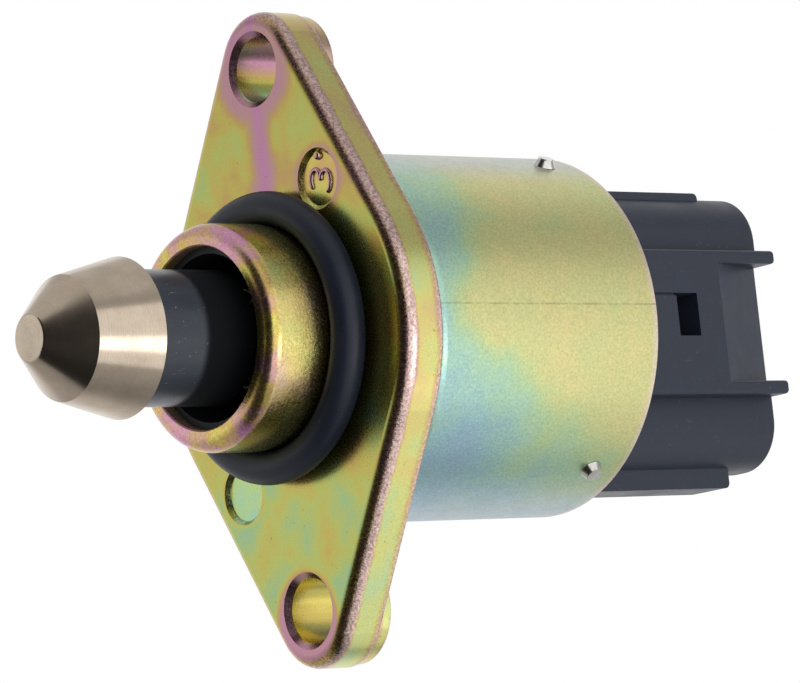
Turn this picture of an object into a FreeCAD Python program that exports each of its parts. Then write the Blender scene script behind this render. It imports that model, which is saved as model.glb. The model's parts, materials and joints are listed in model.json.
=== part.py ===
import FreeCAD, Part
import math
import os
import re
import Sketcher

# Idle air control valve with a stepping motor, at real size in millimetres.
# The origin is the centre of the flange's mounting face. The valve's axis is X:
# the pintle points along -X, the connector along +X, and the two mounting holes lie along Z.

doc = FreeCAD.newDocument("idle_air_control_valve")

# Driving sizes: name, value, what it is
SIZES = (
    ("hole_spacing", 46.14, "between the two mounting holes"),
    ("hole_radius", 2.75, "mounting hole"),
    ("hole_chamfer", 0.5, "lead-in of a mounting hole"),
    ("lobe_radius", 4.9, "outline round a mounting hole"),
    ("waist_radius", 16.6, "outline round the axis"),
    ("flange_thickness", 4.0, "plate"),
    ("flange_round", 1.15, "front edge of the plate"),
    ("flange_rear_round", 0.2, "rear edge of the plate"),
    ("boss_radius", 4.7, "boss behind each mounting hole"),
    ("boss_height", 1.1, "boss behind each mounting hole"),
    ("mark_radius", 2.26, "sunk disc for the cavity number"),
    ("mark_depth", 0.4, "sunk disc for the cavity number"),
    ("mark_edge", 0.34, "slope round the sunk disc"),
    ("mark_distance", 14.2, "sunk disc from the axis"),
    ("mark_angle", 120.0, "sunk disc from +Y towards +Z"),
    ("nose_radius", 9.55, "nose outside"),
    ("nose_length", 8.5, "nose ahead of the mounting face"),
    ("nose_round", 1.2, "front edge of the nose"),
    ("bore_radius", 7.67, "bore through the nose"),
    ("bore_chamfer", 0.12, "lead-in of the bore"),
    ("ring_section", 1.45, "section radius of the flange ring"),
    ("ring_radius", 10.9, "centre circle of the flange ring"),
    ("ring_clearance", 0.05, "between a rubber ring and its seat"),
    ("pilot_radius", 12.4, "pilot inside the can"),
    ("pilot_length", 3.6, "pilot behind the plate"),
    ("fit_clearance", 0.03, "parts that slide together on assembly"),
    ("running_clearance", 0.05, "parts that run on each other"),
    ("bearing_bore", 4.0, "radius of the bearing's bore"),
    ("bearing_radius", 8.0, "radius of the bearing's outside"),
    ("bearing_width", 4.0, "both races"),
    ("bearing_recess", 0.2, "bearing below the pilot's face"),
    ("pitch_radius", 6.0, "centre circle of the balls"),
    ("ball_radius", 0.97, "ball"),
    ("land_height", 0.65, "race land to the ball circle"),
    ("cage_thickness", 0.7, "cage across the radius"),
    ("cage_width", 2.9, "cage along the axis"),
    ("liner_wall", 0.6, "liner in the bore"),
    ("liner_recess", 1.1, "liner behind the nose's front"),
    ("liner_floor", 1.8, "floor of the liner, which guides the screw"),
    ("liner_gap", 0.4, "liner to bearing"),
    ("pintle_reach", 25.76, "pintle tip ahead of the mounting face"),
    ("head_length", 9.11, "pintle head"),
    ("tip_radius", 1.99, "flat tip of the pintle"),
    ("tip_length", 3.25, "steep cone at the tip"),
    ("break_radius", 5.2, "where the steep cone meets the seat cone"),
    ("head_radius", 6.7, "pintle head at the back"),
    ("head_edge", 0.25, "small edge breaks on the pintle"),
    ("sleeve_radius", 5.68, "sleeve behind the pintle"),
    ("sleeve_wall", 0.8, "sleeve"),
    ("sleeve_floor", 1.25, "front wall of the sleeve"),
    ("sleeve_length", 9.65, "sleeve"),
    ("screw_radius", 2.5, "lead screw"),
    ("screw_flat", 2.0, "from the axis to a flat of the screw"),
    ("screw_in_head", 5.0, "screw inside the pintle head"),
    ("screw_length", 36.0, "lead screw"),
    ("spring_radius", 4.1, "centre of the wire from the axis"),
    ("wire_radius", 0.3, "spring wire"),
    ("spring_turns", 8.0, "turns of the spring"),
    ("hub_bore", 2.8, "rotor hub over the screw"),
    ("hub_shoulder", 4.7, "shoulder against the inner race"),
    ("shoulder_length", 1.2, "shoulder of the rotor hub"),
    ("core_radius", 4.3, "rotor hub inside the magnet"),
    ("nut_radius", 3.5, "nut outside"),
    ("nut_length", 6.0, "nut"),
    ("magnet_share", 0.419, "radius of the rotor magnet to the can's"),
    ("magnet_length", 12.4, "rotor magnet"),
    ("journal_radius", 3.6, "rear journal of the hub"),
    ("journal_gap", 0.3, "journal end to the plug"),
    ("bush_wall", 1.6, "rear bush"),
    ("bush_length", 3.0, "rear bush"),
    ("washer_radius", 5.6, "thrust and wave washers"),
    ("thrust_thickness", 0.3, "thrust washer"),
    ("washer_gap", 0.05, "between the washers and their neighbours"),
    ("wave_thickness", 0.25, "strip of the wave washer"),
    ("can_radius", 15.75, "can outside"),
    ("can_wall", 0.8, "can"),
    ("can_length", 24.94, "can behind the plate"),
    ("can_corner", 1.2, "drawn corner at the can's front"),
    ("can_lip", 0.25, "edge break of the can's rim"),
    ("plate_thickness", 0.9, "stator plates"),
    ("stack_length", 14.8, "both stator halves"),
    ("yoke_wall", 0.9, "outer wall of a yoke"),
    ("air_gap", 0.25, "rotor magnet to the claws"),
    ("claw_thickness", 0.9, "claw"),
    ("claw_root", 3.4, "claw width at its plate"),
    ("claw_tip", 1.6, "claw width at its end"),
    ("claw_gap", 0.5, "claw end to the other plate"),
    ("bobbin_clearance", 0.15, "bobbin round the claws"),
    ("bobbin_wall", 0.6, "bobbin tube and cheeks"),
    ("coil_room", 1.82, "coil to the yoke's wall, for the leads"),
    ("lead_radius", 0.3, "coil lead"),
    ("lead_hole", 0.5, "hole for a lead in a stator plate"),
    ("plug_gap", 0.1, "stator to plug"),
    ("plug_recess", 0.34, "plug inside the can's rim"),
    ("seal_section", 0.7, "section radius of the plug's ring"),
    ("seal_place", 1.6, "centre of the ring behind the plug's front"),
    ("seal_groove", 1.8, "width of the ring's groove"),
    ("pin_radius", 0.68, "retaining pin"),
    ("pin_hole", 0.73, "hole for a pin in the can"),
    ("pin_head_radius", 1.0, "head of a pin where it meets the can"),
    ("pin_top_radius", 0.62, "head of a pin at its top"),
    ("pin_from_rim", 3.7, "pin to the can's rim"),
    ("pin_proud", 0.7, "pin out of the can"),
    ("pin_depth", 2.35, "pin below the can's outside"),
    ("pin_turn", 118.0, "first pin from +Y towards +Z"),
    ("pin_step", 117.1, "from each pin to the next round the can"),
    ("shroud_length", 23.0, "connector behind the can"),
    ("shroud_height", 25.0, "connector along Z"),
    ("shroud_thickness", 10.0, "connector along Y"),
    ("shroud_corner", 4.4, "corners of the connector"),
    ("shroud_wall", 1.2, "wall round the socket"),
    ("shroud_edge", 0.35, "edge break of the mouth"),
    ("socket_depth", 13.5, "socket"),
    ("rib_rise", 0.4, "upper rib out of the shroud"),
    ("rib_drop", 1.5, "lower rib out of the shroud"),
    ("rib_thickness", 4.4, "ribs along Y"),
    ("rib_setback", 3.94, "rib end to the mouth"),
    ("rib_round", 0.5, "end corners of the ribs"),
    ("latch_top", 6.8, "upper side of the latch block"),
    ("latch_bottom", 6.2, "lower side of the latch block"),
    ("latch_height", 2.35, "latch block out of the shroud"),
    ("latch_edge", 0.4, "edge break of the latch block"),
    ("fin_thickness", 1.2, "fins beside the ramp"),
    ("fin_round", 0.34, "tips of the fins"),
    ("ramp_length", 7.3, "latch ramp"),
    ("ramp_sink", 0.6, "ramp end below the shroud's side"),
    ("window_length", 2.5, "latch window along the axis"),
    ("window_top", 2.85, "latch window"),
    ("window_bottom", -0.98, "latch window"),
    ("window_setback", 5.45, "latch window to the ramp's start"),
    ("window_depth", 2.9, "latch window"),
    ("slit_width", 0.25, "moulding step beside the window"),
    ("slit_length", 3.6, "moulding step beside the window"),
    ("slit_depth", 0.3, "moulding step beside the window"),
    ("blade_width", 1.5, "terminal blade"),
    ("blade_thickness", 0.64, "terminal blade"),
    ("blade_pitch", 4.0, "between terminals"),
    ("blade_recess", 5.2, "terminal tip to the mouth"),
    ("foot_gap", 1.1, "terminal foot behind the bush"),
)
BALLS = 8
CLAWS = 6
PINS = 3
WAVES = 3
TERMINALS = 4

# Places along the axis and radii that follow from the driving sizes
PLACES = (
    ("nose_front", "-nose_length"),
    ("ring_place", "-ring_section - ring_clearance"),
    ("ring_seat", "ring_radius - ring_section - ring_clearance"),
    ("boss_rear", "flange_thickness + boss_height"),
    ("pilot_rear", "flange_thickness + pilot_length"),
    ("bearing_rear", "pilot_rear - bearing_recess"),
    ("bearing_front", "bearing_rear - bearing_width"),
    ("bearing_middle", "bearing_rear - bearing_width / 2"),
    ("race_groove", "ball_radius + running_clearance"),
    ("liner_rear", "bearing_front - liner_gap"),
    ("liner_seat", "liner_rear - liner_floor"),
    ("liner_radius", "bore_radius - fit_clearance"),
    ("liner_bore", "liner_radius - liner_wall"),
    ("head_rear", "head_length - pintle_reach"),
    ("tip_rear", "tip_length - pintle_reach"),
    ("sleeve_seat", "head_rear + sleeve_floor"),
    ("sleeve_rear", "head_rear + sleeve_length"),
    ("screw_front", "head_rear - screw_in_head"),
    ("screw_rear", "screw_front + screw_length"),
    ("spring_length", "liner_seat - sleeve_seat"),
    ("magnet_radius", "can_radius * magnet_share"),
    ("magnet_front", "bearing_rear + shoulder_length"),
    ("magnet_rear", "magnet_front + magnet_length"),
    ("nut_rear", "magnet_front + nut_length"),
    ("stack_rear", "pilot_rear + stack_length"),
    ("stack_middle", "pilot_rear + stack_length / 2"),
    ("claw_inner", "magnet_radius + air_gap"),
    ("claw_outer", "claw_inner + claw_thickness"),
    ("claw_length", "stack_length / 2 - 2 * plate_thickness - claw_gap"),
    ("bobbin_inner", "sqrt(claw_outer ^ 2 + claw_root ^ 2 / 4) + bobbin_clearance"),
    ("bobbin_outer", "bobbin_inner + bobbin_wall"),
    ("stator_radius", "can_radius - can_wall - fit_clearance"),
    ("coil_radius", "stator_radius - yoke_wall - coil_room"),
    ("lead_ring", "coil_radius + lead_radius + fit_clearance"),
    ("plug_front", "stack_rear + plug_gap"),
    ("bush_radius", "journal_radius + running_clearance + bush_wall"),
    ("bush_rear", "plug_front + bush_length"),
    ("journal_rear", "bush_rear - journal_gap"),
    ("thrust_front", "magnet_rear + washer_gap"),
    ("thrust_rear", "thrust_front + thrust_thickness"),
    ("wave_front", "thrust_rear + washer_gap"),
    ("wave_height", "plug_front - washer_gap - wave_front"),
    ("can_rear", "flange_thickness + can_length"),
    ("plug_rear", "can_rear - plug_recess"),
    ("pin_place", "can_rear - pin_from_rim"),
    ("pin_outer", "can_radius + pin_proud"),
    ("pin_inner", "can_radius - pin_depth"),
    ("seal_middle", "plug_front + seal_place"),
    ("seal_ring", "stator_radius - seal_section"),
    ("seal_seat", "seal_ring - seal_section - ring_clearance"),
    ("mouth", "can_rear + shroud_length"),
    ("socket_floor", "mouth - socket_depth"),
    ("rib_top", "shroud_height / 2 + rib_rise"),
    ("rib_bottom", "shroud_height / 2 + rib_drop"),
    ("rib_end", "mouth - rib_setback"),
    ("latch_face", "shroud_thickness / 2 + latch_height"),
    ("ramp_start", "mouth - ramp_length"),
    ("ramp_foot", "ramp_sink - shroud_thickness / 2"),
    ("window_front", "ramp_start - window_setback"),
    ("foot_front", "bush_rear + foot_gap"),
    ("foot_rear", "foot_front + blade_thickness"),
    ("blade_tip", "mouth - blade_recess"),
)
NAMES = {row[0]: "Sizes." for row in SIZES} | {row[0]: "Places." for row in PLACES}


def bound(text):
    """The expression with each named size written as the sheet cell that holds it."""
    return re.sub(r"[a-z_]+", lambda word: NAMES.get(word[0], "") + word[0], text)


sizes = doc.addObject("Spreadsheet::Sheet", "Sizes")
for row, (name, number, note) in enumerate(SIZES, 1):
    sizes.set(f"A{row}", note)
    sizes.set(f"B{row}", str(number))
    sizes.setAlias(f"B{row}", name)
places = doc.addObject("Spreadsheet::Sheet", "Places")
for row, (name, text) in enumerate(PLACES, 1):
    places.set(f"A{row}", name)
    places.setAlias(f"B{row}", name)
for row, (name, text) in enumerate(PLACES, 1):
    places.set(f"B{row}", "=" + bound(text).replace("Places.", ""))
doc.recompute()


def measure(text):
    """The present number of an expression."""
    return float(sizes.evalExpression(bound(text)))


def bind(thing, **texts):
    """Bind properties to expressions; a double underscore stands for a dot."""
    for name, text in texts.items():
        thing.setExpression(name.replace("__", "."), bound(text))
    return thing


# Sketches and features


def new_body(label):
    body = doc.addObject("PartDesign::Body", label)
    body.Label = label
    return body


def new_sketch(body, role, offset=None, turn=0.0):
    """An empty sketch on one of the body's own planes, moved along the plane's normal."""
    sketch = body.newObject("Sketcher::SketchObject", body.Label + "_sketch")
    plane = next(item for item in body.Origin.OriginFeatures if item.Role == role)
    sketch.AttachmentSupport = [(plane, "")]
    sketch.MapMode = "FlatFace"
    sketch.AttachmentOffset = FreeCAD.Placement(
        FreeCAD.Vector(), FreeCAD.Rotation(FreeCAD.Vector(0, 0, 1), turn))
    if offset:
        bind(sketch, AttachmentOffset__Base__z=offset)
    return sketch


def fix_point(sketch, edge, end, across, up):
    """Hold one point of a sketch at two expressions from the sketch's origin."""
    for kind, text, axis in (("DistanceX", across, -2), ("DistanceY", up, -1)):
        if text == "0":
            sketch.addConstraint(Sketcher.Constraint("PointOnObject", edge, end, axis))
        else:
            rule = Sketcher.Constraint(kind, -1, 1, edge, end, measure(text))
            number = sketch.addConstraint(rule)
            sketch.setExpression(f"Constraints[{number}]", bound(text))


def add_polygon(sketch, points):
    """A closed outline of straight lines through points given as expressions."""
    first = sketch.GeometryCount
    corners = [FreeCAD.Vector(measure(across), measure(up), 0) for across, up in points]
    for here, there in zip(corners, corners[1:] + corners[:1]):
        sketch.addGeometry(Part.LineSegment(here, there), False)
    for step, (across, up) in enumerate(points):
        after = first + (step + 1) % len(points)
        sketch.addConstraint(Sketcher.Constraint("Coincident", first + step, 2, after, 1))
        fix_point(sketch, first + step, 1, across, up)


def add_rectangle(sketch, low_across, low_up, high_across, high_up):
    add_polygon(sketch, ((low_across, low_up), (high_across, low_up),
                         (high_across, high_up), (low_across, high_up)))


def add_circle(sketch, across, up, radius):
    centre = FreeCAD.Vector(measure(across), measure(up), 0)
    circle = Part.Circle(centre, FreeCAD.Vector(0, 0, 1), measure(radius))
    edge = sketch.addGeometry(circle, False)
    fix_point(sketch, edge, 3, across, up)
    number = sketch.addConstraint(Sketcher.Constraint("Radius", edge, measure(radius)))
    sketch.setExpression(f"Constraints[{number}]", bound(radius))


def add_double_flat(sketch, radius, flat):
    """A circle round the origin cut by two flats at plus and minus the given distance."""
    half = measure(f"sqrt(({radius}) ^ 2 - ({flat}) ^ 2)")
    lean = math.atan2(half, measure(flat))
    ring = Part.Circle(FreeCAD.Vector(), FreeCAD.Vector(0, 0, 1), measure(radius))
    first = sketch.addGeometry(Part.ArcOfCircle(ring, lean, math.pi - lean), False)
    sketch.addGeometry(Part.ArcOfCircle(ring, math.pi + lean, 2 * math.pi - lean), False)
    for side in (-1, 1):
        start = FreeCAD.Vector(side * measure(flat), side * half, 0)
        end = FreeCAD.Vector(side * measure(flat), -side * half, 0)
        sketch.addGeometry(Part.LineSegment(start, end), False)
    left, right = first + 2, first + 3
    for here, there in (((first, 1), (right, 1)), ((first, 2), (left, 2)),
                        ((first + 1, 1), (left, 1)), ((first + 1, 2), (right, 2))):
        sketch.addConstraint(Sketcher.Constraint("Coincident", *here, *there))
    for arc in (first, first + 1):
        sketch.addConstraint(Sketcher.Constraint("Coincident", arc, 3, -1, 1))
    number = sketch.addConstraint(Sketcher.Constraint("Radius", first, measure(radius)))
    sketch.setExpression(f"Constraints[{number}]", bound(radius))
    for line, sign in ((left, "-"), (right, "")):
        sketch.addConstraint(Sketcher.Constraint("Vertical", line))
        text = f"{sign}({flat})"
        number = sketch.addConstraint(
            Sketcher.Constraint("DistanceX", -1, 1, line, 1, measure(text)))
        sketch.setExpression(f"Constraints[{number}]", bound(text))


def add_rounded(sketch, height, thickness, corner):
    """A rectangle with round corners, centred on the origin: height along the second axis."""
    across, up = f"({thickness}) / 2 - ({corner})", f"({height}) / 2 - ({corner})"
    radius = measure(corner)
    normal = FreeCAD.Vector(0, 0, 1)
    arcs = []
    for quarter, (side, end) in enumerate((("", ""), ("-", ""), ("-", "-"), ("", "-"))):
        place = (f"{side}({across})", f"{end}({up})")
        middle = Part.Circle(FreeCAD.Vector(measure(place[0]), measure(place[1]), 0), normal, radius)
        start = quarter * math.pi / 2
        arc = sketch.addGeometry(Part.ArcOfCircle(middle, start, start + math.pi / 2), False)
        fix_point(sketch, arc, 3, *place)
        number = sketch.addConstraint(Sketcher.Constraint("Radius", arc, radius))
        sketch.setExpression(f"Constraints[{number}]", bound(corner))
        arcs.append(arc)
    join_by_tangents(sketch, arcs)


def join_by_tangents(sketch, arcs):
    """A straight line from each arc's end to the next arc's start, tangent to both."""
    for here, there in zip(arcs, arcs[1:] + arcs[:1]):
        start = sketch.Geometry[here].EndPoint
        end = sketch.Geometry[there].StartPoint
        line = sketch.addGeometry(Part.LineSegment(start, end), False)
        sketch.addConstraint(Sketcher.Constraint("Tangent", here, 2, line, 1))
        sketch.addConstraint(Sketcher.Constraint("Tangent", line, 2, there, 1))


def revolve(body, points, kind="PartDesign::Revolution"):
    """Turn an outline of (place along the axis, radius) once round the axis."""
    sketch = new_sketch(body, "XY_Plane")
    add_polygon(sketch, points)
    feature = body.newObject(kind, body.Label + "_turned")
    feature.Profile = sketch
    feature.ReferenceAxis = (sketch, ["H_Axis"])
    feature.Angle = 360
    return feature


def revolve_circle(body, place, distance, radius, kind="PartDesign::Groove"):
    """Turn a circle's section once round the axis."""
    sketch = new_sketch(body, "XY_Plane")
    add_circle(sketch, place, distance, radius)
    feature = body.newObject(kind, body.Label + "_groove")
    feature.Profile = sketch
    feature.ReferenceAxis = (sketch, ["H_Axis"])
    feature.Angle = 360
    return feature


def turned(label, points):
    """A piece whose whole form is turned round the axis."""
    body = new_body(label)
    revolve(body, points)
    return body


def ring(label, front, rear, inner, outer):
    return turned(label, ((front, inner), (front, outer), (rear, outer), (rear, inner)))


def pad(body, sketch, length, reverse=False):
    feature = body.newObject("PartDesign::Pad", body.Label + "_pad")
    feature.Profile = sketch
    feature.Reversed = reverse
    return bind(feature, Length=length)


def pocket(body, sketch, depth, reverse=False):
    feature = body.newObject("PartDesign::Pocket", body.Label + "_pocket")
    feature.Profile = sketch
    feature.Reversed = reverse
    if depth == "through":
        feature.Type = "ThroughAll"
    else:
        bind(feature, Length=depth)
    return feature


def repeat(body, feature, count):
    """Repeat a feature evenly round the axis."""
    pattern = body.newObject("PartDesign::PolarPattern", body.Label + "_pattern")
    pattern.Originals = [feature]
    axis = next(item for item in body.Origin.OriginFeatures if item.Role == "X_Axis")
    pattern.Axis = (axis, [""])
    pattern.Angle = 360
    pattern.Occurrences = count
    body.Tip = pattern
    return pattern


def dress(body, kind, wanted, size):
    """Fillet or chamfer the edges of the body's tip that a test picks."""
    doc.recompute()
    base = body.Tip
    names = [f"Edge{number}" for number, edge in enumerate(base.Shape.Edges, 1) if wanted(edge)]
    feature = body.newObject("PartDesign::" + kind, body.Label + "_" + kind.lower())
    feature.Base = (base, names)
    return bind(feature, **{"Radius" if kind == "Fillet" else "Size": size})


def ends_at(edge, place):
    """Whether an edge lies wholly at one place along the axis."""
    box = edge.BoundBox
    return abs(box.XMin - place) < 1e-4 and abs(box.XMax - place) < 1e-4


def group(kind, label, members):
    """A boolean or compound of several objects."""
    made = doc.addObject(kind, label)
    made.Label = label
    if kind == "Part::Compound":
        made.Links = members
    elif kind == "Part::Cut":
        made.Base, made.Tool = members
    else:
        made.Shapes = members
    return made


def block(label, low, high):
    """A box between two corners, each given as three expressions."""
    made = doc.addObject("Part::Box", label)
    sides = ("Length", "Width", "Height")
    for side, start, end, axis in zip(sides, low, high, "xyz"):
        made.setExpression(side, bound(f"({end}) - ({start})"))
        made.setExpression("Placement.Base." + axis, bound(start))
    return made


def rod(label, front, rear, radius, y, z):
    """A round bar along the axis."""
    made = doc.addObject("Part::Cylinder", label)
    made.Placement.Rotation = FreeCAD.Rotation(FreeCAD.Vector(0, 1, 0), 90)
    bind(made, Radius=radius, Height=f"({rear}) - ({front})")
    return bind(made, Placement__Base__x=front, Placement__Base__y=y, Placement__Base__z=z)


# Flange, its rubber ring and the liner in its bore


def add_flange_outline(sketch):
    """A round waist and two round ends joined by four straight tangents."""
    waist, lobe = measure("waist_radius"), measure("lobe_radius")
    reach = measure("hole_spacing / 2")
    lean = math.asin((waist - lobe) / reach)
    normal = FreeCAD.Vector(0, 0, 1)
    up = FreeCAD.Vector(0, reach, 0)
    middle = Part.Circle(FreeCAD.Vector(), normal, waist)
    ends = {1: Part.Circle(up, normal, lobe), -1: Part.Circle(-up, normal, lobe)}
    pi = math.pi
    right = sketch.addGeometry(Part.ArcOfCircle(middle, -lean, lean), False)
    top = sketch.addGeometry(Part.ArcOfCircle(ends[1], lean, pi - lean), False)
    left = sketch.addGeometry(Part.ArcOfCircle(middle, pi - lean, pi + lean), False)
    bottom = sketch.addGeometry(Part.ArcOfCircle(ends[-1], pi + lean, 2 * pi - lean), False)
    arcs = (right, top, left, bottom)
    join_by_tangents(sketch, arcs)
    for arc in (right, left):
        sketch.addConstraint(Sketcher.Constraint("Coincident", arc, 3, -1, 1))
        number = sketch.addConstraint(Sketcher.Constraint("Radius", arc, waist))
        sketch.setExpression(f"Constraints[{number}]", bound("waist_radius"))
    for arc, place in ((top, "hole_spacing / 2"), (bottom, "-hole_spacing / 2")):
        fix_point(sketch, arc, 3, "0", place)
        number = sketch.addConstraint(Sketcher.Constraint("Radius", arc, lobe))
        sketch.setExpression(f"Constraints[{number}]", bound("lobe_radius"))


def hole_circles(body, radius, offset=None):
    """One circle round each mounting hole's centre."""
    sketch = new_sketch(body, "YZ_Plane", offset)
    for place in ("hole_spacing / 2", "-hole_spacing / 2"):
        add_circle(sketch, "0", place, radius)
    return sketch


def make_flange():
    """Plate, nose, rear pilot and bosses are one forging, bored and drilled."""
    body = new_body("mounting_flange")
    outline = new_sketch(body, "YZ_Plane")
    add_flange_outline(outline)
    pad(body, outline, "flange_thickness")
    rear = measure("flange_thickness")
    dress(body, "Fillet", lambda edge: ends_at(edge, 0.0), "flange_round")
    dress(body, "Fillet", lambda edge: ends_at(edge, rear), "flange_rear_round")
    pad(body, hole_circles(body, "boss_radius", "flange_thickness / 2"),
        "flange_thickness / 2 + boss_height")
    inside = "flange_thickness / 3"
    groove_end = "2 * ring_place"
    revolve(body, (("nose_front", "0"), ("nose_front", "nose_radius"),
                   (groove_end, "nose_radius"), (groove_end, "ring_seat"),
                   (inside, "ring_seat"), (inside, "pilot_radius"),
                   ("pilot_rear", "pilot_radius"), ("pilot_rear", "0")))
    front, nose = measure("nose_front"), measure("nose_radius")
    dress(body, "Fillet",
          lambda edge: ends_at(edge, front) and abs(edge.Curve.Radius - nose) < 1e-4,
          "nose_round")
    revolve(body, (("nose_front", "0"), ("nose_front", "bore_radius + bore_chamfer"),
                   ("nose_front + bore_chamfer", "bore_radius"),
                   ("bearing_front", "bore_radius"), ("bearing_front", "bearing_radius"),
                   ("pilot_rear", "bearing_radius"), ("pilot_rear", "0")),
            "PartDesign::Groove")
    pocket(body, hole_circles(body, "hole_radius", "boss_rear"), "boss_rear")
    drill = measure("hole_radius")
    dress(body, "Chamfer",
          lambda edge: ends_at(edge, 0.0) and hasattr(edge.Curve, "Radius")
          and abs(edge.Curve.Radius - drill) < 1e-4,
          "hole_chamfer")
    marks = new_sketch(body, "YZ_Plane", "mark_depth")
    for side in ("", "-"):
        add_circle(marks, f"{side}mark_distance * cos(mark_angle * 1deg)",
                   f"{side}mark_distance * sin(mark_angle * 1deg)", "mark_radius")
    pocket(body, marks, "mark_depth + nose_length")
    disc = measure("mark_radius")
    dress(body, "Chamfer",
          lambda edge: ends_at(edge, 0.0) and hasattr(edge.Curve, "Radius")
          and abs(edge.Curve.Radius - disc) < 1e-4,
          "mark_edge")
    return body


def make_rubber_ring(label, place, centre_radius, section):
    body = new_body(label)
    revolve_circle(body, place, centre_radius, section, "PartDesign::Revolution")
    return body


def make_liner():
    """A moulded cup in the bore: its floor's hole has two flats that keep the screw from turning."""
    body = turned("guide_liner", (
        ("nose_front + liner_recess", "liner_bore"), ("nose_front + liner_recess", "liner_radius"),
        ("liner_rear", "liner_radius"), ("liner_rear", "screw_flat / 2"),
        ("liner_seat", "screw_flat / 2"), ("liner_seat", "liner_bore")))
    sketch = new_sketch(body, "YZ_Plane", "liner_rear")
    add_double_flat(sketch, "screw_radius + running_clearance", "screw_flat + running_clearance")
    pocket(body, sketch, "liner_floor")
    return body


# Pintle, its sleeve, the lead screw and the spring


def make_pintle_head():
    body = turned("pintle_head", (
        ("-pintle_reach", "0"), ("-pintle_reach", "tip_radius"), ("tip_rear", "break_radius"),
        ("head_rear - head_edge", "head_radius"), ("head_rear", "head_radius - head_edge"),
        ("head_rear", "screw_radius"), ("screw_front", "screw_radius"), ("screw_front", "0")))
    tip = measure("-pintle_reach")
    dress(body, "Fillet", lambda edge: ends_at(edge, tip), "head_edge")
    return body


def make_sleeve():
    return turned("pintle_sleeve", (
        ("head_rear", "screw_radius"), ("head_rear", "sleeve_radius"),
        ("sleeve_rear", "sleeve_radius"), ("sleeve_rear", "sleeve_radius - sleeve_wall"),
        ("sleeve_seat", "sleeve_radius - sleeve_wall"), ("sleeve_seat", "screw_radius")))


def make_screw():
    body = new_body("lead_screw")
    sketch = new_sketch(body, "YZ_Plane", "screw_front")
    add_double_flat(sketch, "screw_radius", "screw_flat")
    pad(body, sketch, "screw_length")
    return body


def make_spring():
    """A helix of round wire between the sleeve's front wall and the liner's floor."""
    body = new_body("return_spring")
    sketch = new_sketch(body, "XY_Plane")
    add_circle(sketch, "sleeve_seat + wire_radius + fit_clearance", "spring_radius", "wire_radius")
    coil = body.newObject("PartDesign::AdditiveHelix", "return_spring_wire")
    coil.Profile = sketch
    coil.ReferenceAxis = (sketch, ["H_Axis"])
    coil.Mode = "height-turns-angle"
    bind(coil, Height="spring_length - 2 * wire_radius - 2 * fit_clearance", Turns="spring_turns")
    return body


# Front ball bearing


def make_bearing():
    outer_land = "pitch_radius + land_height"
    inner_land = "pitch_radius - land_height"
    outer = ring("bearing_outer_race", "bearing_front", "bearing_rear",
                 outer_land, "bearing_radius")
    inner = ring("bearing_inner_race", "bearing_front", "bearing_rear",
                 "bearing_bore", inner_land)
    for race in (outer, inner):
        revolve_circle(race, "bearing_middle", "pitch_radius", "race_groove")
    cage = ring("bearing_cage", "bearing_middle - cage_width / 2", "bearing_middle + cage_width / 2",
                "pitch_radius - cage_thickness / 2", "pitch_radius + cage_thickness / 2")
    window = new_sketch(cage, "XZ_Plane")
    add_circle(window, "bearing_middle", "0", "race_groove")
    repeat(cage, pocket(cage, window, "bearing_radius"), BALLS)
    balls = []
    for number in range(BALLS):
        turn = f"{number * 360 / BALLS} * 1deg"
        ball = bind(doc.addObject("Part::Sphere", f"ball_{number + 1}"), Radius="ball_radius")
        bind(ball, Placement__Base__x="bearing_middle",
             Placement__Base__y=f"pitch_radius * cos({turn})",
             Placement__Base__z=f"pitch_radius * sin({turn})")
        balls.append(ball)
    return outer, inner, cage, group("Part::Compound", "bearing_balls", balls)


# Rotor, its nut and magnet, and what carries its rear end


def make_rotor():
    hub = turned("rotor_hub", (
        ("bearing_front", "hub_bore"), ("bearing_front", "bearing_bore"),
        ("bearing_rear", "bearing_bore"), ("bearing_rear", "hub_shoulder"),
        ("magnet_front", "hub_shoulder"), ("magnet_front", "core_radius"),
        ("magnet_rear", "core_radius"), ("magnet_rear", "journal_radius"),
        ("journal_rear", "journal_radius"), ("journal_rear", "hub_bore"),
        ("nut_rear", "hub_bore"), ("nut_rear", "nut_radius"),
        ("magnet_front", "nut_radius"), ("magnet_front", "hub_bore")))
    nut = ring("rotor_nut", "magnet_front", "nut_rear",
               "screw_radius + running_clearance", "nut_radius")
    magnet = ring("rotor_magnet", "magnet_front", "magnet_rear", "core_radius", "magnet_radius")
    washer = ring("thrust_washer", "thrust_front", "thrust_rear",
                  "journal_radius + fit_clearance", "washer_radius")
    bush = ring("rear_bush", "plug_front", "bush_rear",
                "journal_radius + running_clearance", "bush_radius")
    return hub, nut, magnet, washer, bush


def make_wave_washer():
    """A strip that rises and falls as the cosine of a whole number of turns round the axis."""
    swing = measure("(wave_height - wave_thickness) / 2")
    middle = measure("wave_front + (wave_height - wave_thickness) / 2")
    rims = []
    steps = 8 * WAVES
    for radius in (measure("journal_radius + 4 * running_clearance"), measure("washer_radius")):
        points = []
        for step in range(steps):
            turn = 2 * math.pi * step / steps
            place = middle + swing * math.cos(WAVES * turn)
            points.append(FreeCAD.Vector(place, radius * math.cos(turn), radius * math.sin(turn)))
        curve = Part.BSplineCurve()
        curve.interpolate(Points=points, PeriodicFlag=True)
        rims.append(curve.toShape())
    strip = Part.makeRuledSurface(*rims)
    washer = doc.addObject("Part::Feature", "wave_washer")
    washer.Label = "wave_washer"
    washer.Shape = strip.extrude(FreeCAD.Vector(measure("wave_thickness"), 0, 0))
    return washer


# Stator: two like halves, each a yoke, a pole plate, a bobbin and a coil


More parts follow.
